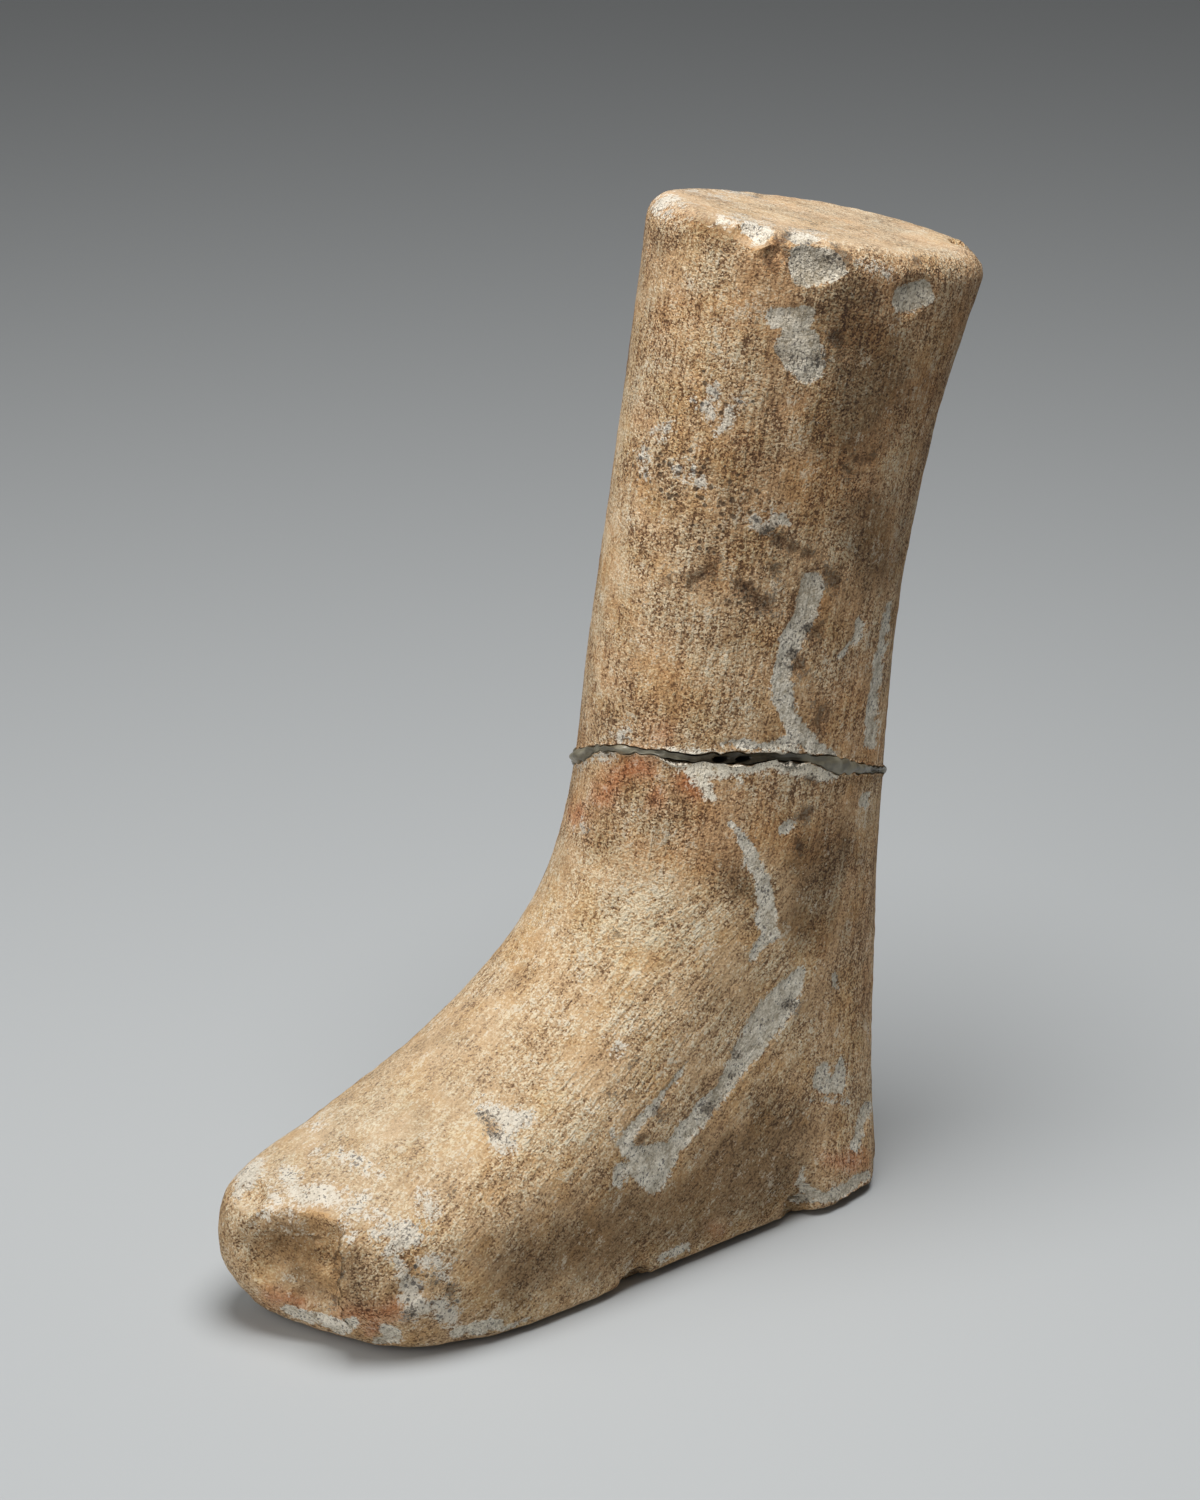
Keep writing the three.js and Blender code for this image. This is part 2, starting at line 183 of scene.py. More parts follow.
# The picture's frame in pixels, the camera's sensor and the point it looks at, in mm
PHOTO_WIDTH, PHOTO_HEIGHT = 1200, 1500
SENSOR = 36
CAMERA_TARGET = (-57.4, 16.5, 125.1)
PIXELS_PER_MM = 3.25  # at the carving
GRAZING = 0.2  # cosine to the line of sight below which the drawn marks give way to random ones
FAR_OUTSIDE = -20.0  # depth of a place that no mark is near

# The studio, in metres: half the floor's width and the number of its cells, the point the lamps
# face, and for each lamp its place to the camera's right, away from the camera and up, and its
# width
FLOOR_REACH, FLOOR_CELLS = 8.0, 8
LAMP_TARGET = (-0.02, 0, 0.14)
OVERHEAD_PLACE, OVERHEAD_WIDTH = (0.05, -0.2, 1.15), 0.8
SIDE_PLACE, SIDE_WIDTH = (-1.35, -0.95, 0.62), 2.5
LAMP_SPREAD = math.radians(160)

# Marks on the stone, each a chain of discs (x, y, radius) in pixels of the camera's picture:
# scars show the pale inside, whites are crust and rubbed edges and, on the rim's top-left corner
# and on the edge beside the toe cut, painted highlights, creams are clean stone along the break,
# the rubbed parts have a paler patina, darks are patches of dirt and, in a hollow at the front
# below the joint and along the toe cut's wall, painted shade, reds are traces of pigment, stains
# are broad and brown and, low on the foot's outer side, painted shade towards the floor, and the
# pitted parts are corroded
SCARS = [
    [(752, 226, 9), (764, 228, 9), (759, 237, 6)],
    [(800, 233, 9), (813, 234, 8)],
    [(805, 256, 12), (806, 274, 14), (825, 264, 17), (842, 270, 8)],
    [(907, 300, 13), (924, 294, 13)],
    [(777, 318, 10), (806, 315, 10), (796, 334, 14), (801, 350, 24), (808, 366, 17)],
    [(784, 520, 4), (789, 525, 2)],
    [(814, 583, 11), (811, 600, 14), (806, 620, 12), (794, 640, 11), (787, 660, 8), (783, 680, 9),
     (785, 700, 11), (792, 718, 10), (803, 735, 12), (818, 750, 8), (832, 756, 5)],
    [(862, 624, 5), (860, 636, 3), (840, 660, 1)],
    [(893, 605, 3), (882, 660, 5), (876, 700, 6), (874, 745, 7)],
    [(715, 745, 2), (735, 744, 4), (760, 747, 3), (785, 745, 5)],
    [(730, 823, 3), (738, 830, 2), (745, 842, 5), (753, 853, 7), (758, 868, 7), (764, 880, 8),
     (769, 893, 9), (770, 908, 10), (768, 922, 10), (772, 936, 8), (763, 946, 6), (756, 956, 4),
     (753, 962, 2)],
    [(785, 830, 6), (793, 824, 4)],
    [(803, 972, 5), (796, 985, 10), (783, 1003, 16), (768, 1022, 17), (757, 1042, 15),
     (745, 1058, 12), (733, 1075, 9), (725, 1090, 8), (713, 1105, 10), (700, 1120, 10),
     (688, 1133, 9), (676, 1148, 10), (666, 1163, 12), (661, 1178, 10), (658, 1190, 5)],
    [(690, 1061, 1), (681, 1078, 2.5), (670, 1090, 2.5), (660, 1104, 4), (648, 1116, 5),
     (636, 1129, 6), (629, 1141, 6), (633, 1152, 7), (645, 1160, 10), (657, 1166, 14),
     (655, 1181, 13), (657, 1190, 8)],
    [(613, 1131, 2), (622, 1147, 3), (630, 1160, 4)],
    [(640, 1172, 9), (624, 1170, 7), (619, 1180, 4), (626, 1188, 2)],
    [(650, 1152, 6), (668, 1150, 7)],
    [(825, 1070, 7), (825, 1085, 9), (840, 1089, 7), (845, 1062, 3)],
    [(815, 1101, 1.5), (850, 1103, 1.5)],
    [(868, 1108, 5), (862, 1130, 5), (858, 1146, 4)],
    [(837, 976, 3), (839, 986, 4)],
    [(806, 1170, 3), (800, 1186, 5), (816, 1200, 6), (836, 1198, 7), (856, 1185, 7), (866, 1176, 4)],
    [(455, 1335, 4), (480, 1330, 7), (502, 1325, 4)],
    [(284, 1312, 4), (318, 1322, 6), (340, 1331, 7), (352, 1326, 5)],
    [(505, 1332, 3), (530, 1321, 1)],
    [(655, 1262, 2), (690, 1248, 3)],
    [(791, 1204, 4), (807, 1198, 5), (844, 1197, 4), (869, 1176, 4)],
    [(385, 1333, 5), (396, 1338, 6), (376, 1345, 5)],
    [(868, 795, 4), (866, 803, 5)],
]
WHITES = [
    # Painted highlight on the rim's top-left corner
    [(655, 205, 8), (664, 196, 9), (676, 196, 5)],
    [(686, 186, 3), (720, 186, 4), (757, 191, 4)],
    [(722, 216, 4), (734, 219, 5)],
    [(748, 224, 5), (766, 226, 5)],
    [(797, 231, 6), (816, 233, 6)],
    [(860, 262, 3), (874, 266, 3), (890, 272, 3)],
    [(585, 758, 3), (600, 752, 3), (612, 756, 2)],
    [(578, 762, 4), (588, 756, 3), (600, 753, 3)],
    [(618, 737, 4), (622, 731, 2)],
    [(640, 452, 3), (643, 475, 4)],
    [(667, 427, 4), (656, 434, 3)],
    [(757, 523, 3), (768, 530, 4), (774, 516, 3)],
    [(738, 402, 4)],
    [(731, 413, 4), (726, 425, 4)],
    [(712, 391, 3)],
    [(704, 408, 5), (712, 416, 4)],
    [(693, 399, 3)],
    [(720, 433, 2)],
    [(670, 467, 2), (690, 474, 3)],
    [(700, 482, 3)],
    [(490, 1108, 9), (505, 1120, 12), (525, 1118, 7), (497, 1139, 9), (511, 1146, 7)],
    [(611, 1037, 5), (617, 1045, 8)],
    [(252, 1167, 11), (243, 1180, 11), (237, 1190, 8)],
    [(284, 1172, 7), (292, 1184, 10), (303, 1194, 12), (320, 1193, 11), (336, 1195, 8)],
    [(272, 1186, 5), (277, 1198, 5)],
    # Painted highlight on the edge beside the toe cut
    [(259, 1213, 2), (290, 1209, 4)],
    [(325, 1199, 4), (350, 1199, 3), (363, 1196, 4)],
    [(309, 1150, 5), (318, 1148, 3)],
    [(342, 1152, 4), (356, 1158, 4)],
    [(370, 1168, 5), (376, 1171, 3)],
    [(300, 1124, 2), (318, 1122, 3)],
    [(348, 1206, 6), (363, 1207, 6), (376, 1213, 7), (381, 1225, 5), (371, 1235, 4)],
    [(347, 1222, 4), (352, 1235, 5)],
    [(386, 1232, 6), (400, 1230, 9), (411, 1236, 10), (397, 1246, 10), (390, 1252, 6)],
    [(425, 1195, 7), (430, 1207, 9), (435, 1215, 6)],
    [(397, 1258, 5), (405, 1278, 9), (412, 1296, 11), (420, 1312, 12), (440, 1308, 10),
     (452, 1322, 9)],
    [(425, 1262, 5), (445, 1262, 6), (444, 1278, 6)],
    [(582, 828, 4), (580, 834, 3)],
    # Painted highlight on the edge beside the toe cut
    [(258, 1216, 2), (290, 1213, 2)],
]
CREAMS = [
    [(668, 756, 5), (686, 762, 10), (702, 766, 13), (720, 766, 12), (740, 765, 11), (757, 762, 9),
     (775, 759, 10), (792, 761, 12), (810, 767, 11), (828, 773, 9), (838, 777, 5)],
    [(697, 770, 9), (705, 784, 6), (714, 801, 3)],
]
RUBBED = [
    [(615, 870, 26), (650, 880, 40), (690, 900, 26)],
    [(640, 930, 30)],
    [(628, 300, 14), (612, 440, 16), (604, 560, 14), (592, 690, 12)],
]
DARKS = [
    [(788, 230, 4), (775, 246, 11), (768, 262, 10)],
    [(827, 262, 5)],
    [(846, 258, 8), (838, 249, 4)],
    [(809, 242, 3)],
    [(836, 338, 7), (843, 346, 4)],
    [(780, 356, 3), (792, 359, 3)],
    [(820, 358, 4)],
    [(887, 229, 3)],
    [(920, 260, 3)],
    [(742, 196, 1.5), (758, 195, 1.5)],
    [(794, 220, 1.5), (822, 222, 2)],
    [(858, 224, 1.5)],
    [(768, 532, 4), (785, 545, 8), (800, 555, 8), (816, 556, 4)],
    [(777, 571, 6)],
    [(710, 570, 8), (690, 585, 6)],
    [(668, 584, 4)],
    [(856, 460, 3), (873, 461, 5)],
    [(878, 447, 3)],
    [(842, 466, 3), (853, 473, 4)],
    [(838, 584, 9), (831, 574, 6)],
    [(826, 610, 5)],
    [(800, 668, 9), (796, 655, 4)],
    [(815, 633, 9), (824, 628, 6)],
    [(821, 698, 4), (823, 715, 8), (822, 728, 6)],
    [(742, 588, 7), (765, 606, 10)],
    [(811, 782, 6)],
    [(806, 815, 7)],
    [(800, 846, 6)],
    [(618, 934, 5)],
    [(488, 1114, 5), (495, 1128, 7)],
    [(240, 1165, 2)],
    [(635, 1063, 4)],
    [(612, 1092, 4)],
    [(644, 1139, 6)],
    [(662, 1112, 5)],
    [(713, 1112, 6), (719, 1100, 4)],
    [(738, 1056, 5)],
    [(735, 1078, 4)],
    [(792, 1006, 6)],
    [(411, 1275, 5)],
    [(437, 1286, 6), (450, 1291, 4)],
    [(414, 1316, 5)],
    [(450, 1186, 5)],
    # Painted shade: a hollow at the front below the joint, and the dark line along the toe cut's wall
    [(585, 832, 4)],
    [(335, 1256, 1.5), (333, 1306, 1.5)],
]
REDS = [
    [(640, 768, 13), (616, 776, 11), (602, 796, 10)],
    [(688, 783, 13), (697, 792, 7)],
    [(655, 800, 9)],
    [(576, 812, 9)],
    [(665, 733, 9)],
    [(835, 1160, 9), (862, 1162, 8)],
    [(718, 1230, 6)],
    [(300, 1304, 9), (270, 1298, 7)],
    [(345, 1314, 8), (375, 1318, 11), (395, 1310, 7)],
    [(372, 1332, 7)],
]
STAINS_AND_SHADE = [
    [(262, 1240, 12), (300, 1250, 17), (300, 1285, 10)],
    [(350, 1260, 5), (362, 1300, 7)],
    # These two chains darken the foot's outer side towards the floor: painted shade
    [(520, 1270, 26), (600, 1240, 32), (690, 1205, 34), (770, 1170, 34)],
    [(560, 1265, 16), (612, 1240, 20), (660, 1222, 18)],
    [(850, 320, 30), (880, 380, 36), (850, 430, 30)],
    [(700, 226, 14), (730, 232, 12)],
    [(722, 870, 10), (747, 892, 9)],
    [(730, 1170, 34), (780, 1130, 26)],
    [(820, 860, 30), (810, 920, 24)],
    [(870, 520, 26), (880, 570, 18)],
]
PITTED = [
    [(640, 470, 26), (700, 480, 36), (745, 500, 24)],
    [(700, 390, 22), (730, 410, 24)],
    [(700, 540, 26)],
    [(745, 603, 22)],
    [(420, 1285, 22), (438, 1308, 18)],
]

# For each kind of mark: its chains, how far its edge frays in mm, and on the side that the camera
# doesn't see the size of its random marks in mm, the noise level where they begin and their seed
MARKS = {
    "scar": (SCARS, 0.4, 24, 0.72, 101),
    "white": (WHITES, 0.9, 16, 0.9, 111),
    "cream": (CREAMS, 0.9, 16, 1.4, 161),
    "rubbed": (RUBBED, 3, 45, 0.5, 171),
    "dark": (DARKS, 0.9, 12, 0.95, 121),
    "red": (REDS, 1, 30, 0.9, 131),
    "stain_and_shade": (STAINS_AND_SHADE, 3, 45, 0.4, 141),
    "pitted": (PITTED, 2, 40, 0.35, 151),
}


def linear(colour):
    """sRGB hex text to linear RGBA."""
    channels = np.array([int(colour[i:i + 2], 16) for i in (0, 2, 4)]) / 255
    low = channels / 12.92
    high = ((channels + 0.055) / 1.055) ** 2.4
    return (*np.where(channels <= 0.04045, low, high).tolist(), 1.0)


def smooth(value):
    """Ease from 0 to 1: 3t^2 - 2t^3 with t held between 0 and 1."""
    t = np.clip(value, 0, 1)
    return t * t * (3 - 2 * t)


def curve_through(xs, ys, x):
    """Cubic through points, the slope at each taken from its two neighbours (Hermite form)."""
    slope = np.empty_like(ys)
    slope[1:-1] = (ys[2:] - ys[:-2]) / (xs[2:] - xs[:-2])
    slope[0] = (ys[1] - ys[0]) / (xs[1] - xs[0])
    slope[-1] = (ys[-1] - ys[-2]) / (xs[-1] - xs[-2])
    x = np.clip(x, xs[0], xs[-1])
    i = np.clip(np.searchsorted(xs, x, side="right") - 1, 0, len(xs) - 2)
    h = xs[i + 1] - xs[i]
    t = (x - xs[i]) / h
    return (
        (2 * t**3 - 3 * t**2 + 1) * ys[i]
        + (t**3 - 2 * t**2 + t) * h * slope[i]
        + (-2 * t**3 + 3 * t**2) * ys[i + 1]
        + (t**3 - t**2) * h * slope[i + 1]
    )


def curve_around(points, angle):
    """The same cubic for a value that repeats every full turn; angle in radians."""
    table = np.array(points, float)
    table = np.vstack([table[-2:] - (360, 0), table, table[:2] + (360, 0)])
    return curve_through(table[:, 0], table[:, 1], np.degrees(angle) % 360)


def skin(angle, z, inset):
    """Point of the carving's skin at an angle and height, in mm.

    A section is the unit superellipse |x|^n + |y|^n = 1 stretched to its four reaches; the heel
    is narrowed, the outer side swells out low down at two places and the toes are slanted.
    """
    reach = [curve_through(SECTIONS[:, 0], SECTIONS[:, k], z) for k in range(1, 9)]
    front, back, outer, inner, widest, box_inner, box_outer, box_back = reach
    ahead, aside = np.cos(angle), np.sin(angle)
    box_front = np.where(aside > 0, box_outer, box_inner)
    power = (box_front + box_back) / 2 + (box_front - box_back) / 2 * ahead
    stretch = (np.abs(ahead) ** power + np.abs(aside) ** power) ** (-1 / power)
    half_width = np.where(aside > 0, outer, inner) - inset
    half_length = np.where(ahead > 0, widest - front, back - widest) - inset
    x = half_width * aside * stretch
    y = widest - half_length * ahead * stretch
    heelward = np.clip((y - widest) / (back - widest), 0, 1)
    taper = np.where(aside > 0, HEEL_TAPER, HEEL_TAPER_INNER)
    x = x * (1 - taper * np.clip(1 - z / HEEL_TAPER_TOP, 0, 1) * heelward)
    for middle, spread, size, top in OUTER_SWELLS:
        along = np.clip((y - middle) / spread, -1, 1)
        low = np.clip(1 - z / top, 0, 1)
        x = x + size * np.clip(2 * aside, 0, 1) * (1 - along**4) * low
    toeward = np.clip((widest - y) / (widest - front), 0, 1)
    slant = TOE_SLANT * toeward**2 * (x + outer * TOE_SLANT_PIVOT)
    return x, y + slant * np.clip(1 - z / TOE_SLANT_TOP, 0, 1)


def rounded_inset(distance, overhang, rise):
    """How far a rounded edge steps in at a distance from the face it meets: a quarter ellipse."""
    rest = 1 - np.clip(distance / rise, 0, 1)
    return overhang * (1 - np.sqrt(1 - rest**2))


def value_noise(points, size, seed):
    """Smooth random field from -1 to 1, of a size in mm.

    Random numbers on a cubic lattice of the given spacing, turned at random against the axes
    and blended with an ease curve along all three directions.
    """
    rng = np.random.default_rng(seed)
    values = rng.uniform(-1, 1, (LATTICE, LATTICE, LATTICE))
    turn, _ = np.linalg.qr(rng.normal(size=(3, 3)))
    place = points @ turn / size + rng.uniform(0, LATTICE, 3)
    base = np.floor(place).astype(int)
    ease = smooth(place - base)
    total = np.zeros(len(points))
    for dx in (0, 1):
        for dy in (0, 1):
            for dz in (0, 1):
                corner = (base + (dx, dy, dz)) % LATTICE
                share = np.prod(np.where((dx, dy, dz), ease, 1 - ease), axis=1)
                total += share * values[corner[:, 0], corner[:, 1], corner[:, 2]]
    return total


def rough_noise(points, size, octaves, seed):
    """Sum of value_noise at halving sizes and 0.55 times the height each time, about -1 to 1."""
    total = np.zeros(len(points))
    height = 1.0
    for octave in range(octaves):
        total += height * value_noise(points, size / 2**octave, seed + octave)
        height *= 0.55
    return total


def pits(points, spacing, radius, seed):
    """Round pits, 0 to 1 deep: one bowl 1 - (d / r)^2 in each cell of a jittered lattice."""
    rng = np.random.default_rng(seed)
    jitter = rng.uniform(0.1, 0.9, (LATTICE, LATTICE, LATTICE, 3))
    girth = rng.uniform(0.35, 1, (LATTICE, LATTICE, LATTICE)) * radius
    place = points / spacing
    base = np.floor(place).astype(int)
    depth = np.zeros(len(points))
    for step in np.ndindex(3, 3, 3):
        cell = base + step - 1
        index = tuple((cell % LATTICE).T)
        distance = np.linalg.norm(place - cell - jitter[index], axis=1) * spacing
        bowl = 1 - (distance / girth[index]) ** 2
        depth = np.maximum(depth, bowl)
    return depth


def camera_frame(studio):
    """The camera's place in mm and its right, up and backward directions, from its angles."""
    turn, lift = studio.camera_azimuth, studio.camera_elevation
    backward = np.array([
        math.sin(turn) * math.cos(lift), -math.cos(turn) * math.cos(lift), math.sin(lift)])
    right = np.array([math.cos(turn), math.sin(turn), 0])
    up = np.cross(backward, right)
    place = np.array(CAMERA_TARGET) + backward * studio.camera_distance / MM
    return place, right, up, backward


def photo_place(points, normals, studio):
    """Where points fall in the photograph, in its pixels, and how much they face the camera."""
    place, right, up, backward = camera_frame(studio)
    offset = points - place
    depth = -(offset @ backward)
    focal_pixels = studio.focal_length / (SENSOR * MM) * PHOTO_HEIGHT
    column = PHOTO_WIDTH / 2 + focal_pixels * (offset @ right) / depth
    row = PHOTO_HEIGHT / 2 - focal_pixels * (offset @ up) / depth
    sight = offset / np.linalg.norm(offset, axis=1, keepdims=True)
    return np.stack([column, row], axis=1), -(normals * sight).sum(axis=1)


def inside_marks(place, chains):
    """Depth of each point inside a group of marks, in mm, negative outside.

    A chain of discs is swept from each disc to the next, its radius running evenly; the depth is
    the radius there less the distance to the line, and the deepest chain counts.
    """
    deepest = np.full(len(place), FAR_OUTSIDE)
    for chain in chains:
        for start, end in zip(chain, chain[1:] or chain):
            start, end = np.array(start, float), np.array(end, float)
            line = end[:2] - start[:2]
            length = max(line @ line, 1e-9)
            share = np.clip((place - start[:2]) @ line / length, 0, 1)
            distance = np.linalg.norm(place - start[:2] - share[:, None] * line, axis=1)
            radius = start[2] + share * (end[2] - start[2])
            deepest = np.maximum(deepest, (radius - distance) / PIXELS_PER_MM)
    return deepest


def settle(angle, height_of, inset_of):
    """Grid points on the skin. A height depends on its place and the place on its height, so the
    two are worked out in turns until they agree."""
    x = np.zeros_like(angle)
    y = np.full_like(angle, float(TOP_Y))
    for _ in range(SETTLE_TURNS):
        z = height_of(x, y)
        x, y = skin(angle, z, inset_of(x, y, z))
    return np.stack([x, y, height_of(x, y)], axis=-1)


def even_rows(levels, surface, spacing):
    """Levels whose rows lie one spacing apart along the mean profile of the surface."""
    grid = surface(levels, np.linspace(0, 2 * np.pi, PROFILE_SIDES, endpoint=False))
    steps = np.linalg.norm(np.diff(grid, axis=0), axis=-1).mean(axis=1)
    run = np.concatenate([[0], np.cumsum(steps)])
    count = int(run[-1] / spacing) + 1
    return np.interp(np.linspace(0, run[-1], count), run, levels)


def end_rows(rim, middle_height, spacing):
    """Rows that close an end: the rim's ring shrunk evenly towards its middle."""
    middle = rim.mean(axis=0)
    middle[2] = middle_height(middle[0], middle[1])
    reach = np.linalg.norm(rim - middle, axis=1).mean()
    shares = np.linspace(0, 1, int(reach / spacing) + 2)[1:-1, None, None]
    return middle + shares * (rim - middle), middle


def grid_normals(grid):
    """Outward unit normals of a grid that is closed around its second direction."""
    around = np.roll(grid, -1, axis=1) - np.roll(grid, 1, axis=1)
    along = np.gradient(grid, axis=0)
    normals = np.cross(around, along)
    return normals / np.maximum(np.linalg.norm(normals, axis=-1, keepdims=True), 1e-9)


def carve(points, normals, hollows, roughness):
    """Press each point that lies in an egg-shaped hollow inwards until it leaves the hollow.

    With q and m the point and the inward step in the hollow's own stretched axes, the step t
    solves |q - t m| = 1, a quadratic; the hollow's size is broken up by a little noise.
    """
    ragged = 1 + roughness * rough_noise(points, 7, 3, 11)
    for centre, half, turn, *wall in hollows.values():
        cosine, sine = math.cos(math.radians(turn)), math.sin(math.radians(turn))
        axes = np.array([[cosine, -sine, 0], [sine, cosine, 0], [0, 0, 1]]) / np.array(half)
        q = (points - centre) @ axes / ragged[:, None]
        m = normals @ axes / ragged[:, None]
        a, b, c = (m * m).sum(1), (q * m).sum(1), (q * q).sum(1)
        inside = c < 1
        for limit in wall:
            inside &= q[:, 0] * half[0] < limit
        step = (b + np.sqrt(np.maximum(b * b - a * (c - 1), 0))) / a
        points = points - normals * np.where(inside, step, 0)[:, None]
    return points


def closed_mesh(name, grid, start, end):
    """A closed mesh from a grid that wraps around, its two ends joined to a point each."""
    rows, sides = grid.shape[:2]
    vertices = np.vstack([grid.reshape(-1, 3), start, end]) * MM
    here = np.arange(sides)
    following = (here + 1) % sides
    base = (np.arange(rows - 1) * sides)[:, None]
    low, low_next = base + here, base + following
    quads = np.stack([low, low_next, low_next + sides, low + sides], axis=-1).reshape(-1, 4)
    last = (rows - 1) * sides
    first_fan = np.stack([np.full(sides, rows * sides), following, here], axis=1)
    last_fan = np.stack([last + here, last + following, np.full(sides, rows * sides + 1)], axis=1)
    corners = np.concatenate([quads.ravel(), first_fan.ravel(), last_fan.ravel()])
    sizes = np.concatenate([np.full(len(quads), 4), np.full(2 * sides, 3)])
    mesh = bpy.data.meshes.new(name)
    mesh.vertices.add(len(vertices))
    mesh.vertices.foreach_set("co", vertices.ravel())
    mesh.loops.add(len(corners))
    mesh.loops.foreach_set("vertex_index", corners.astype(np.int32))
    mesh.polygons.add(len(sizes))
    starts = np.concatenate([[0], np.cumsum(sizes)[:-1]])
    mesh.polygons.foreach_set("loop_start", starts.astype(np.int32))
    mesh.polygons.foreach_set("use_smooth", np.ones(len(sizes), bool))
    mesh.update(calc_edges=True)
    mesh.validate()
    return mesh


def set_attribute(mesh, name, values, start, end):
    """Store one number per vertex; the two end points repeat the value beside them."""
    full = np.concatenate([values, [start, end]])
    attribute = mesh.attributes.new(name, "FLOAT", "POINT")
    attribute.data.foreach_set("value", full.astype(np.float32))


def place_piece(name, mesh, material, node):
    """Put a finished mesh into the scene in the place of its solid."""
    mesh.materials.append(material)
    piece = bpy.data.objects.new(name, mesh)
    bpy.context.scene.collection.objects.link(piece)
    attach(piece, "root")
    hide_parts(node)
    return piece


def stroke_axes(lean):
    """Axes leant about X and shrunk along Z, which draws noise out along the strokes."""
    cosine, sine = math.cos(lean), math.sin(lean)
    leant = np.array([[1, 0, 0], [0, cosine, -sine], [0, sine, cosine]])
    return leant / (1, 1, STROKE_STRETCH)


def weather(grid, hollows, sizes, studio):
    """Carve the hollows and the wear into a stone's grid and work out its marks.

    The wear only takes stone away: a broad unevenness, a fine tooth, rasp strokes, sunk scars
    and dark patches, and pits, each a depth in mm along the inward normal. The marks are depths
    in mm too; the skin before carving decides which of them the camera sees.
    """
    shape = grid.shape
    outward = grid_normals(grid).reshape(-1, 3)
    points = carve(grid.reshape(-1, 3), outward, hollows, HOLLOW_ROUGHNESS)
    normals = grid_normals(points.reshape(shape)).reshape(-1, 3)
    place, facing = photo_place(points, outward, studio)
    seen = smooth(facing / GRAZING)
    frayed = rough_noise(points, 4.5, 2, 191)

    def marks(chains, fray, size, level, seed):
        """Drawn marks where the camera sees the stone, and random ones of a size elsewhere."""
        hidden = (rough_noise(points, size, 4, seed) - level) * size / 4
        return fray * frayed + seen * inside_marks(place, chains) + (1 - seen) * hidden

    fields = {name: marks(*row) for name, row in MARKS.items()}
    ahead = smooth((INSTEP_Y - points[:, 1]) / INSTEP_BLEND)
    fields["instep"] = ahead * smooth((INSTEP_HEIGHT - points[:, 2]) / INSTEP_BLEND)
    strokes = [
        value_noise(points @ stroke_axes(lean), 3.4, 261) for lean in (SHAFT_STROKE, INSTEP_STROKE)
    ]
    stroke = strokes[0] + fields["instep"] * (strokes[1] - strokes[0])
    broken = 0.5 * value_noise(points, 2.4, 201)
    scar = smooth((fields["scar"] + broken + 0.5) / 1.2)
    dark = smooth((fields["dark"] + broken) / 1.6)
    pitted = 0.25 + 0.75 * smooth((fields["pitted"] + 4) / 8)
    depth = BROAD_WEAR * (1 + rough_noise(points, 34, 3, 211) / 2)
    depth += UNEVEN_WEAR * (1 + rough_noise(points, 9, 3, 221) / 2)
    depth += TOOTH_WEAR * (1 + value_noise(points, 2.6, 231))
    depth += STROKE_WEAR * (1 + stroke)
    depth += scar * (SCAR_DEPTH + SCAR_TOOTH * rough_noise(points, 4, 2, 241))
    depth += dark * DARK_DEPTH
    depth += PIT_DEPTH * pits(points, PIT_SPACING, PIT_RADIUS, 251) * pitted
    points = points - normals * (depth * sizes.wear)[:, None]
    points[:, 2] = np.maximum(points[:, 2], 0)
    fields["upward"] = normals[:, 2]
    # Painted shade: higher up, the shin's outer side, which faces away from the side lamp, is darkened
    outer_side = smooth((outward[:, 0] - OUTER_SHADE_FACING) / OUTER_SHADE_FACING_SPAN)
    fields["outer_side_shade"] = outer_side * smooth((points[:, 2] - OUTER_SHADE_HEIGHT) / OUTER_SHADE_HEIGHT_SPAN)
    return points.reshape(shape), fields


def finish_stone(name, grid, start, end, fields, node):
    """Mesh, marks and material of one weathered fragment."""
    mesh = closed_mesh(name, grid, start, end)
    sides = grid.shape[1]
    for key, values in fields.items():
        set_attribute(mesh, key, values, values[:sides].mean(), values[-sides:].mean())
    return place_piece(name, mesh, limestone(), node)


def top_height(x, y, sizes):
    """Height of the cut top, a plane that falls towards the calf and the outer side."""
    fall_back = math.tan(sizes.top_fall_back) * (y - TOP_Y)
    return sizes.height / MM - fall_back - math.tan(sizes.top_fall_out) * x


def break_height(x, y):
    """Height of the break's middle plane."""
    return BREAK_HEIGHT + BREAK_RISE_OUT * x - BREAK_RISE_FRONT * (y - BREAK_Y)


def edge_rise(edge, angle, seed):
    """Rise of a broken edge around the shin: its drawn course and small seeded jags."""
    jags = np.random.default_rng(seed).uniform(-JAG_HEIGHT, JAG_HEIGHT, JAG_COUNT)
    at = np.arange(JAG_COUNT) * 360 / JAG_COUNT
    return curve_around(edge, angle) + curve_around(np.stack([at, jags], axis=1), angle)


def foot_break(angle, x, y, sizes):
    """Height of the lower fragment's broken edge."""
    return break_height(x, y) - sizes.joint_width / MM / 2 + edge_rise(FOOT_EDGE, angle, 31)


def shaft_break(angle, x, y, sizes):
    """Height of the upper fragment's broken edge."""
    return break_height(x, y) + sizes.joint_width / MM / 2 + edge_rise(SHAFT_EDGE, angle, 32)


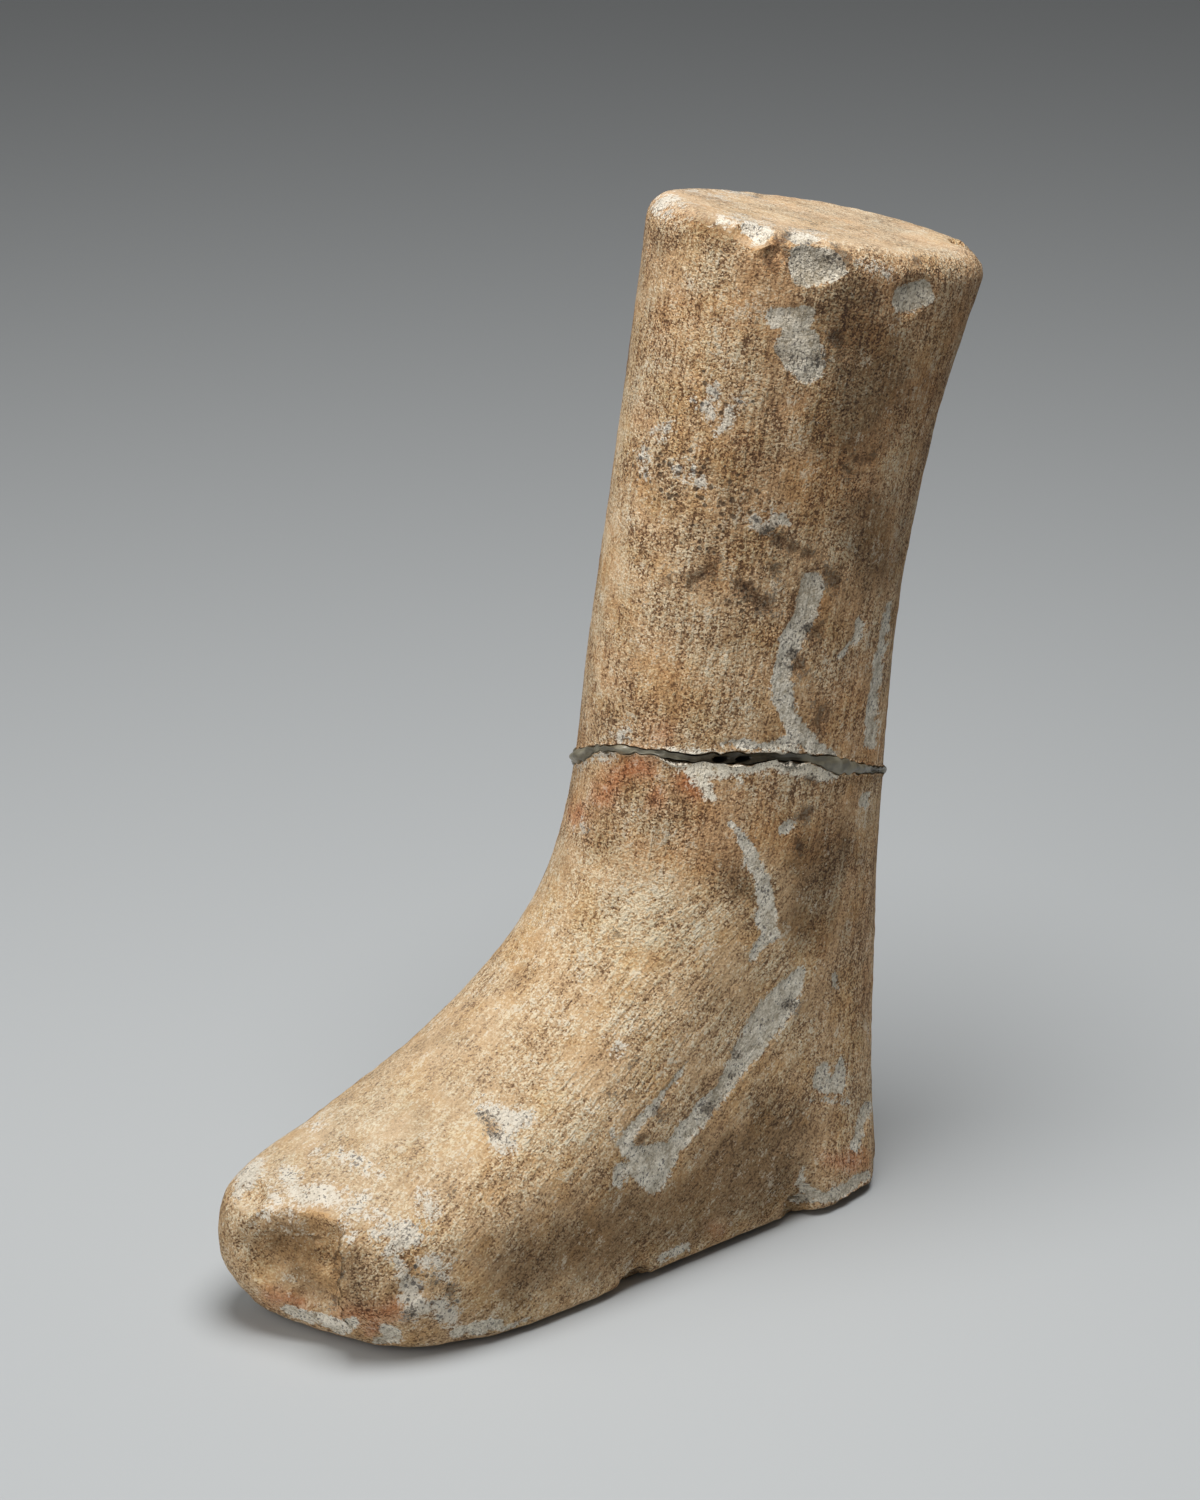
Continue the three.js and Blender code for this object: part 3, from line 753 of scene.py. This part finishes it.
def build_foot(sizes, studio):
    """Lower fragment: rings from the sole up that lean into the break above LEAN_START."""
    rise, overhang = sizes.sole_rise / MM, sizes.sole_overhang / MM

    def surface(levels, angles):
        level, angle = np.meshgrid(levels, angles, indexing="ij")
        lean = np.clip((level - LEAN_START) / (BREAK_HEIGHT - LEAN_START), 0, 1) ** 2

        def height_of(x, y):
            return level + lean * (foot_break(angle, x, y, sizes) + EDGE_LIP - BREAK_HEIGHT)

        def inset_of(x, y, z):
            broken_edge = rounded_inset(BREAK_HEIGHT - level, EDGE_WEAR, EDGE_WEAR)
            return rounded_inset(z, overhang, rise) + broken_edge
        return settle(angle, height_of, inset_of)

    angles = np.linspace(0, 2 * np.pi, FOOT_SIDES, endpoint=False)
    bend = rise * (1 - np.cos(np.linspace(0, np.pi / 2, SOLE_ROWS)))
    crest = BREAK_HEIGHT - EDGE_WEAR * (1 - np.sin(np.linspace(0, np.pi / 2, EDGE_ROWS)))
    levels = np.concatenate([bend, np.linspace(rise, crest[0], WALL_ROWS)[1:-1], crest])
    wall = surface(even_rows(levels, surface, FOOT_SPACING), angles)
    sole, start = end_rows(wall[0], lambda x, y: 0, HIDDEN_SPACING)
    broken, end = end_rows(
        wall[-1], lambda x, y: break_height(x, y) - sizes.joint_width / MM / 2, HIDDEN_SPACING)
    grid = np.concatenate([sole, wall, broken[::-1]])
    grid, fields = weather(grid, FOOT_HOLLOWS, sizes, studio)
    grid[:len(sole), :, 2] = 0
    return finish_stone("foot_fragment", grid, start, end, fields, "foot")


def build_shaft(sizes, studio):
    """Upper fragment: rings shared out between the break and the cut top, then the rounded rim."""
    rim_radius = sizes.rim_rounding / MM

    def surface(levels, angles):
        level, angle = np.meshgrid(levels, angles, indexing="ij")
        share = np.minimum(level, 1)
        climb = rim_radius * (level - share)

        def height_of(x, y):
            low = shaft_break(angle, x, y, sizes) - EDGE_LIP
            return low + share * (top_height(x, y, sizes) - rim_radius - low) + climb

        def inset_of(x, y, z):
            below = top_height(x, y, sizes) - z
            above = z - shaft_break(angle, x, y, sizes) + EDGE_LIP
            rim = rounded_inset(below, rim_radius, rim_radius)
            return rim + rounded_inset(above, EDGE_WEAR, EDGE_WEAR)
        return settle(angle, height_of, inset_of)

    angles = np.linspace(0, 2 * np.pi, SHAFT_SIDES, endpoint=False)
    edge = np.linspace(0, EDGE_SHARE, EDGE_ROWS + 1)
    crest = 1 + np.sin(np.linspace(0, np.pi / 2, RIM_ROWS))
    levels = np.concatenate([edge, np.linspace(EDGE_SHARE, 1, WALL_ROWS)[1:-1], crest])
    wall = surface(even_rows(levels, surface, SHAFT_SPACING), angles)
    broken, start = end_rows(
        wall[0], lambda x, y: break_height(x, y) + sizes.joint_width / MM / 2, HIDDEN_SPACING)
    top, end = end_rows(wall[-1], lambda x, y: top_height(x, y, sizes), SHAFT_SPACING)
    grid = np.concatenate([broken, wall, top[::-1]])
    grid, fields = weather(grid, SHAFT_HOLLOWS, sizes, studio)
    end = grid[-1].mean(axis=0)
    return finish_stone("shaft_fragment", grid, start, end, fields, "leg_shaft")


def build_adhesive(sizes):
    """Adhesive layer between the breaks: its face is set back or swells out around the shin.

    Across the layer the face follows a half sine, swollen by noise where it was squeezed out.
    """
    def surface(levels, angles):
        share, angle = np.meshgrid(levels, angles, indexing="ij")
        set_back = curve_around(ADHESIVE_SET_BACK, angle)
        proud = smooth(-set_back / BEAD_SWELL)

        def height_of(x, y):
            low = foot_break(angle, x, y, sizes) - ADHESIVE_REACH - BEAD_DOWN * proud
            high = shaft_break(angle, x, y, sizes) + ADHESIVE_REACH + BEAD_UP * proud
            return low + share * (high - low)

        def inset_of(x, y, z):
            swell = np.sin(share * np.pi)
            recessed = set_back - RECESS_CURL * (1 - swell)
            return np.where(set_back > 0, recessed, set_back * swell) + FACE_STEP
        return settle(angle, height_of, inset_of)

    angles = np.linspace(0, 2 * np.pi, ADHESIVE_SIDES, endpoint=False)
    shares = np.linspace(0, 1, ADHESIVE_ROWS)
    wall = surface(shares, angles)
    normals = grid_normals(wall).reshape(-1, 3)
    points = wall.reshape(-1, 3)
    lumps = LUMP_HEIGHT * rough_noise(points, LUMP_SIZE, 3, 301)
    swell = np.repeat(np.sin(shares * np.pi), ADHESIVE_SIDES)
    points = points + normals * (np.minimum(lumps, LUMP_LIMIT) * swell)[:, None]
    carved = carve(points, normals, ADHESIVE_HOLES, 0)
    hole = smooth(np.linalg.norm(carved - points, axis=1) / HOLE_DEPTH)
    recess = smooth((curve_around(ADHESIVE_SET_BACK, angles) - RECESS_DEPTH) / RECESS_SPAN)
    wall = carved.reshape(wall.shape)
    half = sizes.joint_width / MM / 2
    low, start = end_rows(wall[0], lambda x, y: break_height(x, y) - half, HIDDEN_SPACING)
    high, end = end_rows(wall[-1], lambda x, y: break_height(x, y) + half, HIDDEN_SPACING)
    grid = np.concatenate([low, wall, high[::-1]])
    mesh = closed_mesh("adhesive_layer", grid, start, end)
    # Holes and recesses in the adhesive are darkened: painted shade, with some dirt
    deep = np.maximum(hole, RECESS_SHADE_AND_DIRT * np.tile(recess, len(wall)))
    deep = np.pad(deep, (low[..., 0].size, high[..., 0].size))
    set_attribute(mesh, "deep", deep, 0, 0)
    return place_piece("adhesive_layer", mesh, resin(), "joint_adhesive")


def add_node(tree, kind, inputs=None, **settings):
    """Add a node with its settings, its input values and the links into it."""
    node = tree.nodes.new(kind)
    for name, value in settings.items():
        setattr(node, name, value)
    for key, value in (inputs or {}).items():
        if isinstance(value, bpy.types.NodeSocket):
            tree.links.new(value, node.inputs[key])
        else:
            node.inputs[key].default_value = value
    return node


def new_material(name):
    """An empty node material with its Principled shader."""
    material = bpy.data.materials.new(name)
    material.use_nodes = True
    tree = material.node_tree
    tree.nodes.clear()
    shader = add_node(tree, "ShaderNodeBsdfPrincipled")
    add_node(tree, "ShaderNodeOutputMaterial", {"Surface": shader.outputs[0]})
    return material, tree, shader


def limestone():
    """Soft limestone, rasped, buried and dug up: a dry, grainy ochre skin over pale stone.

    Sand grains, crumbs and rasp strokes make one tone field that runs from earth brown in the
    hollows to cream on the high grains, and the same fields raise the relief. Scars show the
    grey-cream inside, and pits hold dark earth; there is no gloss.
    """
    finish = bpy.context.scene.votive_stone
    material, tree, shader = new_material("weathered limestone")
    place = add_node(tree, "ShaderNodeTexCoord").outputs["Object"]

    def noise(size_mm, detail=3.0, roughness=0.55, distortion=0.0, at=place):
        """Cloudy noise of a size in mm, about 0 to 1."""
        return add_node(tree, "ShaderNodeTexNoise", {
            "Vector": at, "Scale": 1000 / size_mm, "Detail": detail, "Roughness": roughness,
            "Distortion": distortion}).outputs[0]

    def between(value, low, high, start=0.0, end=1.0):
        """Ease from start to end while the value runs from low to high."""
        return add_node(tree, "ShaderNodeMapRange", {
            "Value": value, "From Min": low, "From Max": high, "To Min": start, "To Max": end},
            interpolation_type="SMOOTHSTEP").outputs[0]

    def maths(operation, *values):
        return add_node(tree, "ShaderNodeMath", dict(enumerate(values)),
                        operation=operation).outputs[0]

    def summed(*terms):
        """Sum of noise fields, each taken about its middle and multiplied by its share."""
        total = 0.0
        for field, share in terms:
            total = maths("MULTIPLY_ADD", maths("SUBTRACT", field, 0.5), share, total)
        return total

    def mixed(share, first, second):
        """A share of the second colour laid over the first."""
        return add_node(tree, "ShaderNodeMix", {0: share, 6: first, 7: second},
                        data_type="RGBA").outputs[2]

    def tinted(share, first, tint):
        """The first colour multiplied by a share of a tint."""
        return add_node(tree, "ShaderNodeMix", {0: share, 6: first, 7: tint}, data_type="RGBA",
                        blend_type="MULTIPLY").outputs[2]

    def mark(name):
        """A number that the mesh carries at each point."""
        return add_node(tree, "ShaderNodeAttribute", attribute_name=name).outputs["Fac"]

    def stroked(pitch, stretch):
        """Noise drawn out along the rasp strokes, which lean further on the instep."""
        fields = []
        for lean in (SHAFT_STROKE, INSTEP_STROKE):
            turned = add_node(tree, "ShaderNodeMapping", {
                "Vector": place, "Rotation": (lean, 0, 0), "Scale": (1, 1, stretch)},
                vector_type="TEXTURE")
            fields.append(noise(pitch, 3, 0.65, 0.4, turned.outputs[0]))
        return add_node(tree, "ShaderNodeMix", {0: mark("instep"), 2: fields[0], 3: fields[1]},
                        data_type="FLOAT").outputs[0]

    def grains(size_mm):
        """A random value for each grain of a packing of cells."""
        return add_node(tree, "ShaderNodeTexVoronoi", {
            "Vector": place, "Scale": 1000 / size_mm}).outputs["Color"]

    # Fields shared by colour and relief, sizes in mm. Real sand grains are about 0.2 mm across
    # and are drawn at 0.5 mm, so that they show
    grain = noise(0.75, 1.5, 0.6)
    sand = grains(0.5)
    gravel = grains(1.1)
    crumb = noise(2.2, 4, 0.7, 0.3)
    blotch = noise(8, 5, 0.62)
    cloud = noise(32, 3, 0.5)
    rasp = stroked(1.5, 11)
    sweep = stroked(4, 8)
    ragged = summed((grain, 3.0), (crumb, 7.0), (blotch, 8.0))

    # Patina: earth in the hollows, worn grains above it, and warmer and greyer patches. It is
    # calmer on the instep and on the faces that look up
    upward = mark("upward")
    sharp = between(upward, 0.3, 1.0, 1.0, 0.75)
    patchy = between(noise(17, 5, 0.6), 0.36, 0.64, 0.7, 1.45)
    calm = between(mark("instep"), 0, 1, 1, 0.8)
    rough = maths("MULTIPLY", maths("MULTIPLY", patchy, sharp), calm)
    fine = summed((crumb, 1.1), (sand, 1.9), (gravel, 0.5), (grain, 1.6), (rasp, 2.2))
    tone = summed((cloud, 0.9), (blotch, 1.1), (sweep, 0.7))
    tone = maths("MULTIPLY_ADD", fine, rough, tone)
    # Faces that look up are made paler: painted light from above
    tone = maths("ADD", tone, between(upward, -0.15, 0.55, 0, 0.25))
    rubbed = between(maths("MULTIPLY_ADD", ragged, 2.0, mark("rubbed")), -6, 8, 0, 0.4)
    tone = maths("ADD", tone, rubbed)
    colour = mixed(between(tone, -0.8, 0.1), tuple(finish.brown), tuple(finish.tan))
    colour = mixed(between(tone, 0.1, 0.9), colour, tuple(finish.cream))
    colour = tinted(between(noise(15, 5, 0.6), 0.45, 0.64, 0, 0.6), colour, tuple(finish.ochre))
    colour = tinted(between(noise(19, 5, 0.6), 0.52, 0.66, 0, 0.5), colour, tuple(finish.smudge))
    warm = maths("MULTIPLY", between(noise(23, 6, 0.65), 0.42, 0.62, 0.3, 0.9),
                 between(mark("instep"), 0, 1, 1, 0.1))
    colour = tinted(warm, colour, tuple(finish.rose))
    # Broad brown stains, and painted shade low on the foot's outer side
    stain_and_shade = between(maths("MULTIPLY_ADD", ragged, 2.0, mark("stain_and_shade")), -7, 6)
    colour = tinted(stain_and_shade, colour, tuple(finish.stain_and_shade))
    red = between(maths("ADD", mark("red"), ragged), -4, 5)
    colour = tinted(red, colour, tuple(finish.red))
    fleck = summed((sand, 1.6), (crumb, 5.0), (blotch, 6.0), (rasp, 3.0))
    fleck = between(maths("ADD", fleck, between(upward, 0, 1, 0, 0.2)), 0.8, 1.5, 0, 0.4)
    colour = mixed(fleck, colour, tuple(finish.fleck))
    # Faces that look up are greyed and lightened: partly dust, partly painted light from above
    colour = mixed(between(upward, 0.7, 1.0, 0, 0.25), colour, tuple(finish.dust_and_top_light))

    # Pits, crowded where the stone is corroded
    pore = add_node(tree, "ShaderNodeTexVoronoi", {
        "Vector": place, "Scale": 1000 / 2.4}).outputs["Distance"]
    crowd = between(maths("MULTIPLY_ADD", ragged, 2.0, mark("pitted")), -4, 5, -0.1, 0.22)
    pit = between(maths("SUBTRACT", pore, crowd), 0.02, 0.14, 1, 0)
    colour = mixed(maths("MULTIPLY", pit, 0.8), colour, tuple(finish.earth))
    speck = between(noise(1.1, 1, 0.5), 0.74, 0.79, 0, 0.7)
    colour = mixed(speck, colour, tuple(finish.slate))

    # Scars, crusts and painted highlights, dirt and painted shade, then painted shade on the outer side
    # of the shin
    scar = between(maths("MULTIPLY_ADD", ragged, 0.55, mark("scar")), -0.3, 0.3)
    scar_tone = summed((sand, 0.6), (crumb, 1.8), (blotch, 1.6))
    scar_colour = mixed(between(scar_tone, -0.5, 0.4), tuple(finish.scar_speck),
                        tuple(finish.scar))
    clustered = maths("MULTIPLY_ADD", maths("SUBTRACT", blotch, 0.5), 0.5, noise(0.9, 1, 0.5))
    clustered = maths("ADD", clustered, between(mark("dark"), -1.5, 1.5, 0, 0.12))
    pinhole = between(clustered, 0.61, 0.69, 0, 0.75)
    scar_colour = mixed(maths("MAXIMUM", pit, pinhole), scar_colour, tuple(finish.slate))
    colour = mixed(maths("MULTIPLY", scar, 0.94), colour, scar_colour)
    crumbly = summed((sand, 3.0), (grain, 4.0), (crumb, 12.0), (blotch, 8.0))
    # Whites: crust and worn edges, and painted highlights on the rim's corner and beside the toe cut
    white = between(maths("ADD", crumbly, mark("white")), -1.2, 1.2, 0, 0.9)
    white_colour = mixed(between(scar_tone, -0.7, 0.1), tuple(finish.scar_speck),
                         tuple(finish.white))
    holes = maths("MAXIMUM", maths("MULTIPLY", pit, 0.7), pinhole)
    white_colour = mixed(holes, white_colour, tuple(finish.slate))
    colour = mixed(white, colour, white_colour)
    cream = between(maths("MULTIPLY_ADD", crumbly, 0.7, mark("cream")), -1, 0.8, 0, 0.95)
    cream_colour = mixed(between(scar_tone, -0.7, 0.0), tuple(finish.cream), tuple(finish.bone))
    cream_colour = mixed(pinhole, cream_colour, tuple(finish.earth))
    colour = mixed(cream, colour, cream_colour)
    # Dark patches: dirt, and painted shade in a hollow below the joint and along the toe cut's wall
    dark = between(maths("MULTIPLY_ADD", crumbly, 1.2, mark("dark")), 0.0, 1.0, 0, 0.9)
    colour = tinted(dark, colour, tuple(finish.grime_and_shade))
    # Painted shade on the shin's outer side, which faces away from the side lamp, tinted with the stain
    # colour
    colour = tinted(maths("MULTIPLY", mark("outer_side_shade"), 0.38), colour, tuple(finish.stain_and_shade))
    tree.links.new(colour, shader.inputs["Base Color"])
    shader.inputs["Roughness"].default_value = finish.roughness

    # Relief in mm
    relief = summed((grain, 0.9), (crumb, 1.0), (rasp, 1.3))
    relief = maths("MULTIPLY_ADD", pit, -0.45, maths("MULTIPLY", relief, rough))
    bump = add_node(tree, "ShaderNodeBump", {"Height": relief, "Distance": MM, "Strength": 1.0})
    tree.links.new(bump.outputs[0], shader.inputs["Normal"])
    return material


def resin():
    """Grey-olive restoration adhesive, set hard: smooth, faintly wavy and slightly glossy."""
    finish = bpy.context.scene.votive_adhesive
    material, tree, shader = new_material("set restoration adhesive")
    place = add_node(tree, "ShaderNodeTexCoord").outputs["Object"]
    cloud = add_node(tree, "ShaderNodeTexNoise", {"Vector": place, "Scale": 1000 / 5, "Detail": 3})
    share = add_node(tree, "ShaderNodeMapRange", {
        "Value": cloud.outputs[0], "From Min": 0.4, "From Max": 0.62},
        interpolation_type="SMOOTHSTEP")
    colour = add_node(tree, "ShaderNodeMix", {
        0: share.outputs[0], 6: tuple(finish.colour), 7: tuple(finish.shade)}, data_type="RGBA")
    # Its recesses and holes are darkened towards the dirt colour: painted shade, with some dirt
    deep = add_node(tree, "ShaderNodeAttribute", attribute_name="deep")
    dirty_and_shaded = add_node(tree, "ShaderNodeMix", {
        0: deep.outputs["Fac"], 6: colour.outputs[2], 7: tuple(finish.dirt_and_shade)}, data_type="RGBA")
    tree.links.new(dirty_and_shaded.outputs[2], shader.inputs["Base Color"])
    shader.inputs["Roughness"].default_value = finish.roughness
    ripple = add_node(tree, "ShaderNodeTexNoise", {"Vector": place, "Scale": 1000 / 2, "Detail": 2})
    bump = add_node(tree, "ShaderNodeBump", {
        "Height": ripple.outputs[0], "Distance": 0.4 * MM, "Strength": 0.6})
    tree.links.new(bump.outputs[0], shader.inputs["Normal"])
    return material


def build_floor(studio):
    """A plain pale floor: a flat grid whose far edge is well out of the camera's view."""
    lines = np.linspace(-FLOOR_REACH, FLOOR_REACH, FLOOR_CELLS + 1)
    across, along = np.meshgrid(lines, lines)
    vertices = np.stack([across, along, np.zeros_like(across)], axis=-1).reshape(-1, 3)
    row = len(lines)
    first = (np.arange(FLOOR_CELLS)[:, None] * row + np.arange(FLOOR_CELLS)).ravel()
    faces = np.stack([first, first + 1, first + row + 1, first + row], axis=1)
    mesh = bpy.data.meshes.new("studio_floor")
    mesh.from_pydata(vertices, [], faces)
    mesh.update()
    material, tree, shader = new_material("matt grey backdrop paper")
    shader.inputs["Base Color"].default_value = tuple(studio.floor_colour)
    shader.inputs["Roughness"].default_value = 0.85
    mesh.materials.append(material)
    floor = bpy.data.objects.new("studio_floor", mesh)
    bpy.context.scene.collection.objects.link(floor)


def add_lamp(name, place, aim, size, power):
    """Add a round soft lamp that faces the point it is aimed at."""
    lamp = bpy.data.lights.new(name, "AREA")
    lamp.shape = "DISK"
    lamp.size = size
    lamp.energy = power
    lamp.spread = LAMP_SPREAD
    holder = bpy.data.objects.new(name, lamp)
    bpy.context.scene.collection.objects.link(holder)
    holder.location = place
    holder.rotation_euler = (aim - place).to_track_quat("-Z", "Y").to_euler()


def build_studio(studio):
    """Floor, soft lamps, a dim surround and the camera at the photograph's viewing angle."""
    build_floor(studio)
    place, right, _, backward = camera_frame(studio)
    right, forward = Vector(right), Vector((-backward[0], -backward[1], 0)).normalized()
    middle = Vector(LAMP_TARGET)

    def beside(across, ahead, height):
        """A place to the camera's right of the target, away from the camera and up."""
        return middle + right * across + forward * ahead + Vector((0, 0, height))

    add_lamp("overhead softbox", beside(*OVERHEAD_PLACE), middle, OVERHEAD_WIDTH,
             studio.overhead_power)
    add_lamp("side softbox", beside(*SIDE_PLACE), middle, SIDE_WIDTH, studio.side_power)
    world = bpy.data.worlds.new("studio surround")
    bpy.context.scene.world = world
    world.use_nodes = True
    background = world.node_tree.nodes["Background"]
    background.inputs["Color"].default_value = linear("FFFFFF")
    background.inputs["Strength"].default_value = studio.surround
    camera = bpy.data.cameras.new("camera")
    camera.sensor_width = SENSOR
    camera.lens = studio.focal_length / MM
    camera.clip_start = 0.05
    camera.clip_end = 50
    holder = bpy.data.objects.new("camera", camera)
    bpy.context.scene.collection.objects.link(holder)
    holder.location = Vector(place) * MM
    holder.rotation_euler = (-Vector(backward)).to_track_quat("-Z", "Y").to_euler()
    bpy.context.scene.camera = holder
    bpy.context.scene.view_settings.view_transform = "Standard"


def length_property(name, description, value):
    """A length in metres for a property group."""
    return FloatProperty(name=name, description=description, default=value, min=0,
                         unit="LENGTH", precision=4)


def angle_property(name, description, degrees):
    """An angle for a property group, given in degrees and kept in radians."""
    return FloatProperty(name=name, description=description, default=math.radians(degrees),
                         unit="ROTATION")


def colour_property(name, description, value):
    """A colour for a property group, given as sRGB hex text."""
    return FloatVectorProperty(name=name, description=description, default=linear(value),
                               size=4, min=0, max=1, subtype="COLOR")


class VotiveSizes(PropertyGroup):
    """Driving sizes of the carving"""
    height: length_property("Height", "Sole to the cut top, near its middle", 0.3)
    top_fall_back: angle_property("Top falls back", "Slope of the cut top towards the calf", 13.5)
    top_fall_out: angle_property("Top falls out", "Slope of the cut top towards the outer side", 3)
    sole_overhang: length_property("Sole overhang", "Reach of the worn sole edge over the floor", 0.007)
    sole_rise: length_property("Sole rise", "Height from which that edge curves down", 0.004)
    rim_rounding: length_property("Rim rounding", "Radius of the edge around the cut top", 0.01)
    joint_width: length_property("Joint width", "Mean height of the adhesive layer", 0.002)
    wear: FloatProperty(name="Wear", description="Depth of scars, pits and unevenness, in shares",
                        default=1.0, min=0, max=2, subtype="FACTOR")


class VotiveStone(PropertyGroup):
    """Colours of the weathered limestone"""
    tan: colour_property("Tan", "Middle tone of the patina", "CFAD83")
    ochre: colour_property("Ochre", "Tint of the warmer patches", "F5E4C4")
    smudge: colour_property("Smudge", "Tint of the greyer patches", "D8D2C6")
    rose: colour_property("Rose", "Tint of the pinker patches", "FFF0E4")
    fleck: colour_property("Fleck", "Pale grains rubbed clean", "E4DAC8")
    brown: colour_property("Brown", "Earth in the hollows", "74563A")
    cream: colour_property("Cream", "High grains", "ECDBBA")
    # Also the tint of painted shade, low on the foot's outer side and on the shin's outer side
    stain_and_shade: colour_property("Stain", "Tint of the broad brown stains", "BDB6AA")
    red: colour_property("Red", "Tint left by red pigment", "F4C8B6")
    # Also lightens the faces that look up: painted light from above
    dust_and_top_light: colour_property("Dust", "Dulled skin of the faces that look up", "CFC9B6")
    scar: colour_property("Scar", "Pale inside of the stone", "F8F0DF")
    scar_speck: colour_property("Scar speck", "Duller grains in the scars", "B2A690")
    # Also the colour of painted highlights on the rim's corner and beside the toe cut
    white: colour_property("White", "Worn edges and crust", "E8DFCE")
    bone: colour_property("Bone", "Clean stone along the break", "FFF5E0")
    earth: colour_property("Earth", "Dirt in pits", "4E3A27")
    slate: colour_property("Slate", "Blue-grey specks", "4C4A4C")
    # Also the tint of painted shade in a hollow below the joint and along the toe cut's wall
    grime_and_shade: colour_property("Grime", "Tint of the dark patches", "A09890")
    roughness: FloatProperty(name="Roughness", description="Dry stone scatters nearly all light",
                             default=0.93, min=0, max=1, subtype="FACTOR")


class VotiveAdhesive(PropertyGroup):
    """Look of the adhesive"""
    colour: colour_property("Colour", "Body of the adhesive", "88826F")
    shade: colour_property("Shade", "Darker clouds in it", "625C4C")
    # Colour of the painted shade and dirt in its recesses and holes
    dirt_and_shade: colour_property("Dirt", "Dirt in its recesses and holes", "1E1A15")
    roughness: FloatProperty(name="Roughness", description="Slightly glossy", default=0.35,
                             min=0, max=1, subtype="FACTOR")


class VotiveStudio(PropertyGroup):
    """Camera, lamps and floor"""
    camera_azimuth: angle_property("Camera azimuth", "Turn about the upright axis", 50.1)
    camera_elevation: angle_property("Camera elevation", "Height of the view above level", 21.2)
    camera_distance: length_property("Camera distance", "From the point it looks at", 1.354)
    focal_length: length_property("Focal length", "Lens of the camera", 0.1056)
    overhead_power: FloatProperty(name="Overhead power", description="Watts of the lamp above",
                                  default=11.8, min=0, unit="POWER")
    side_power: FloatProperty(name="Side power", description="Watts of the lamp at the left",
                              default=16, min=0, unit="POWER")
    surround: FloatProperty(name="Surround", description="Strength of the dim surround",
                            default=0.095, min=0)
    floor_colour: colour_property("Floor", "Pale grey paper", "BCBFC0")


class VOTIVE_OT_foot(Operator):
    """Build the lower fragment: foot, heel and ankle up to the break"""
    bl_idname = "votive.foot"
    bl_label = "Foot fragment"

    def execute(self, context):
        build_foot(context.scene.votive_sizes, context.scene.votive_studio)
        return {"FINISHED"}


class VOTIVE_OT_shaft(Operator):
    """Build the upper fragment: the shin from the break to the cut top"""
    bl_idname = "votive.shaft"
    bl_label = "Shin fragment"

    def execute(self, context):
        build_shaft(context.scene.votive_sizes, context.scene.votive_studio)
        return {"FINISHED"}


class VOTIVE_OT_adhesive(Operator):
    """Build the adhesive layer between the two fragments"""
    bl_idname = "votive.adhesive"
    bl_label = "Adhesive layer"

    def execute(self, context):
        build_adhesive(context.scene.votive_sizes)
        return {"FINISHED"}


class VOTIVE_OT_studio(Operator):
    """Build the floor, the lamps and the camera"""
    bl_idname = "votive.studio"
    bl_label = "Studio"

    def execute(self, context):
        build_studio(context.scene.votive_studio)
        return {"FINISHED"}


class VOTIVE_PT_panel(Panel):
    """Sizes, finishes and builders of the votive leg"""
    bl_idname = "VOTIVE_PT_panel"
    bl_label = "Votive Leg"
    bl_space_type = "VIEW_3D"
    bl_region_type = "UI"
    bl_category = "Votive Leg"

    def draw(self, context):
        scene = context.scene
        for group in (scene.votive_sizes, scene.votive_stone, scene.votive_adhesive,
                      scene.votive_studio):
            box = self.layout.box()
            for name in group.__annotations__:
                box.prop(group, name)
        for operator in OPERATORS:
            self.layout.operator(operator.bl_idname)


GROUPS = {
    "votive_sizes": VotiveSizes,
    "votive_stone": VotiveStone,
    "votive_adhesive": VotiveAdhesive,
    "votive_studio": VotiveStudio,
}
OPERATORS = (VOTIVE_OT_studio, VOTIVE_OT_foot, VOTIVE_OT_shaft, VOTIVE_OT_adhesive)


def register():
    for name, group in GROUPS.items():
        bpy.utils.register_class(group)
        setattr(bpy.types.Scene, name, PointerProperty(type=group))
    for cls in (*OPERATORS, VOTIVE_PT_panel):
        bpy.utils.register_class(cls)


def unregister():
    for cls in (VOTIVE_PT_panel, *reversed(OPERATORS)):
        bpy.utils.unregister_class(cls)
    for name, group in reversed(GROUPS.items()):
        delattr(bpy.types.Scene, name)
        bpy.utils.unregister_class(group)


def main():
    """Build the stage and the pieces through their operators."""
    register()
    bpy.ops.votive.studio()
    bpy.ops.votive.foot()
    bpy.ops.votive.shaft()
    bpy.ops.votive.adhesive()


if __name__ == "__main__":
    main()
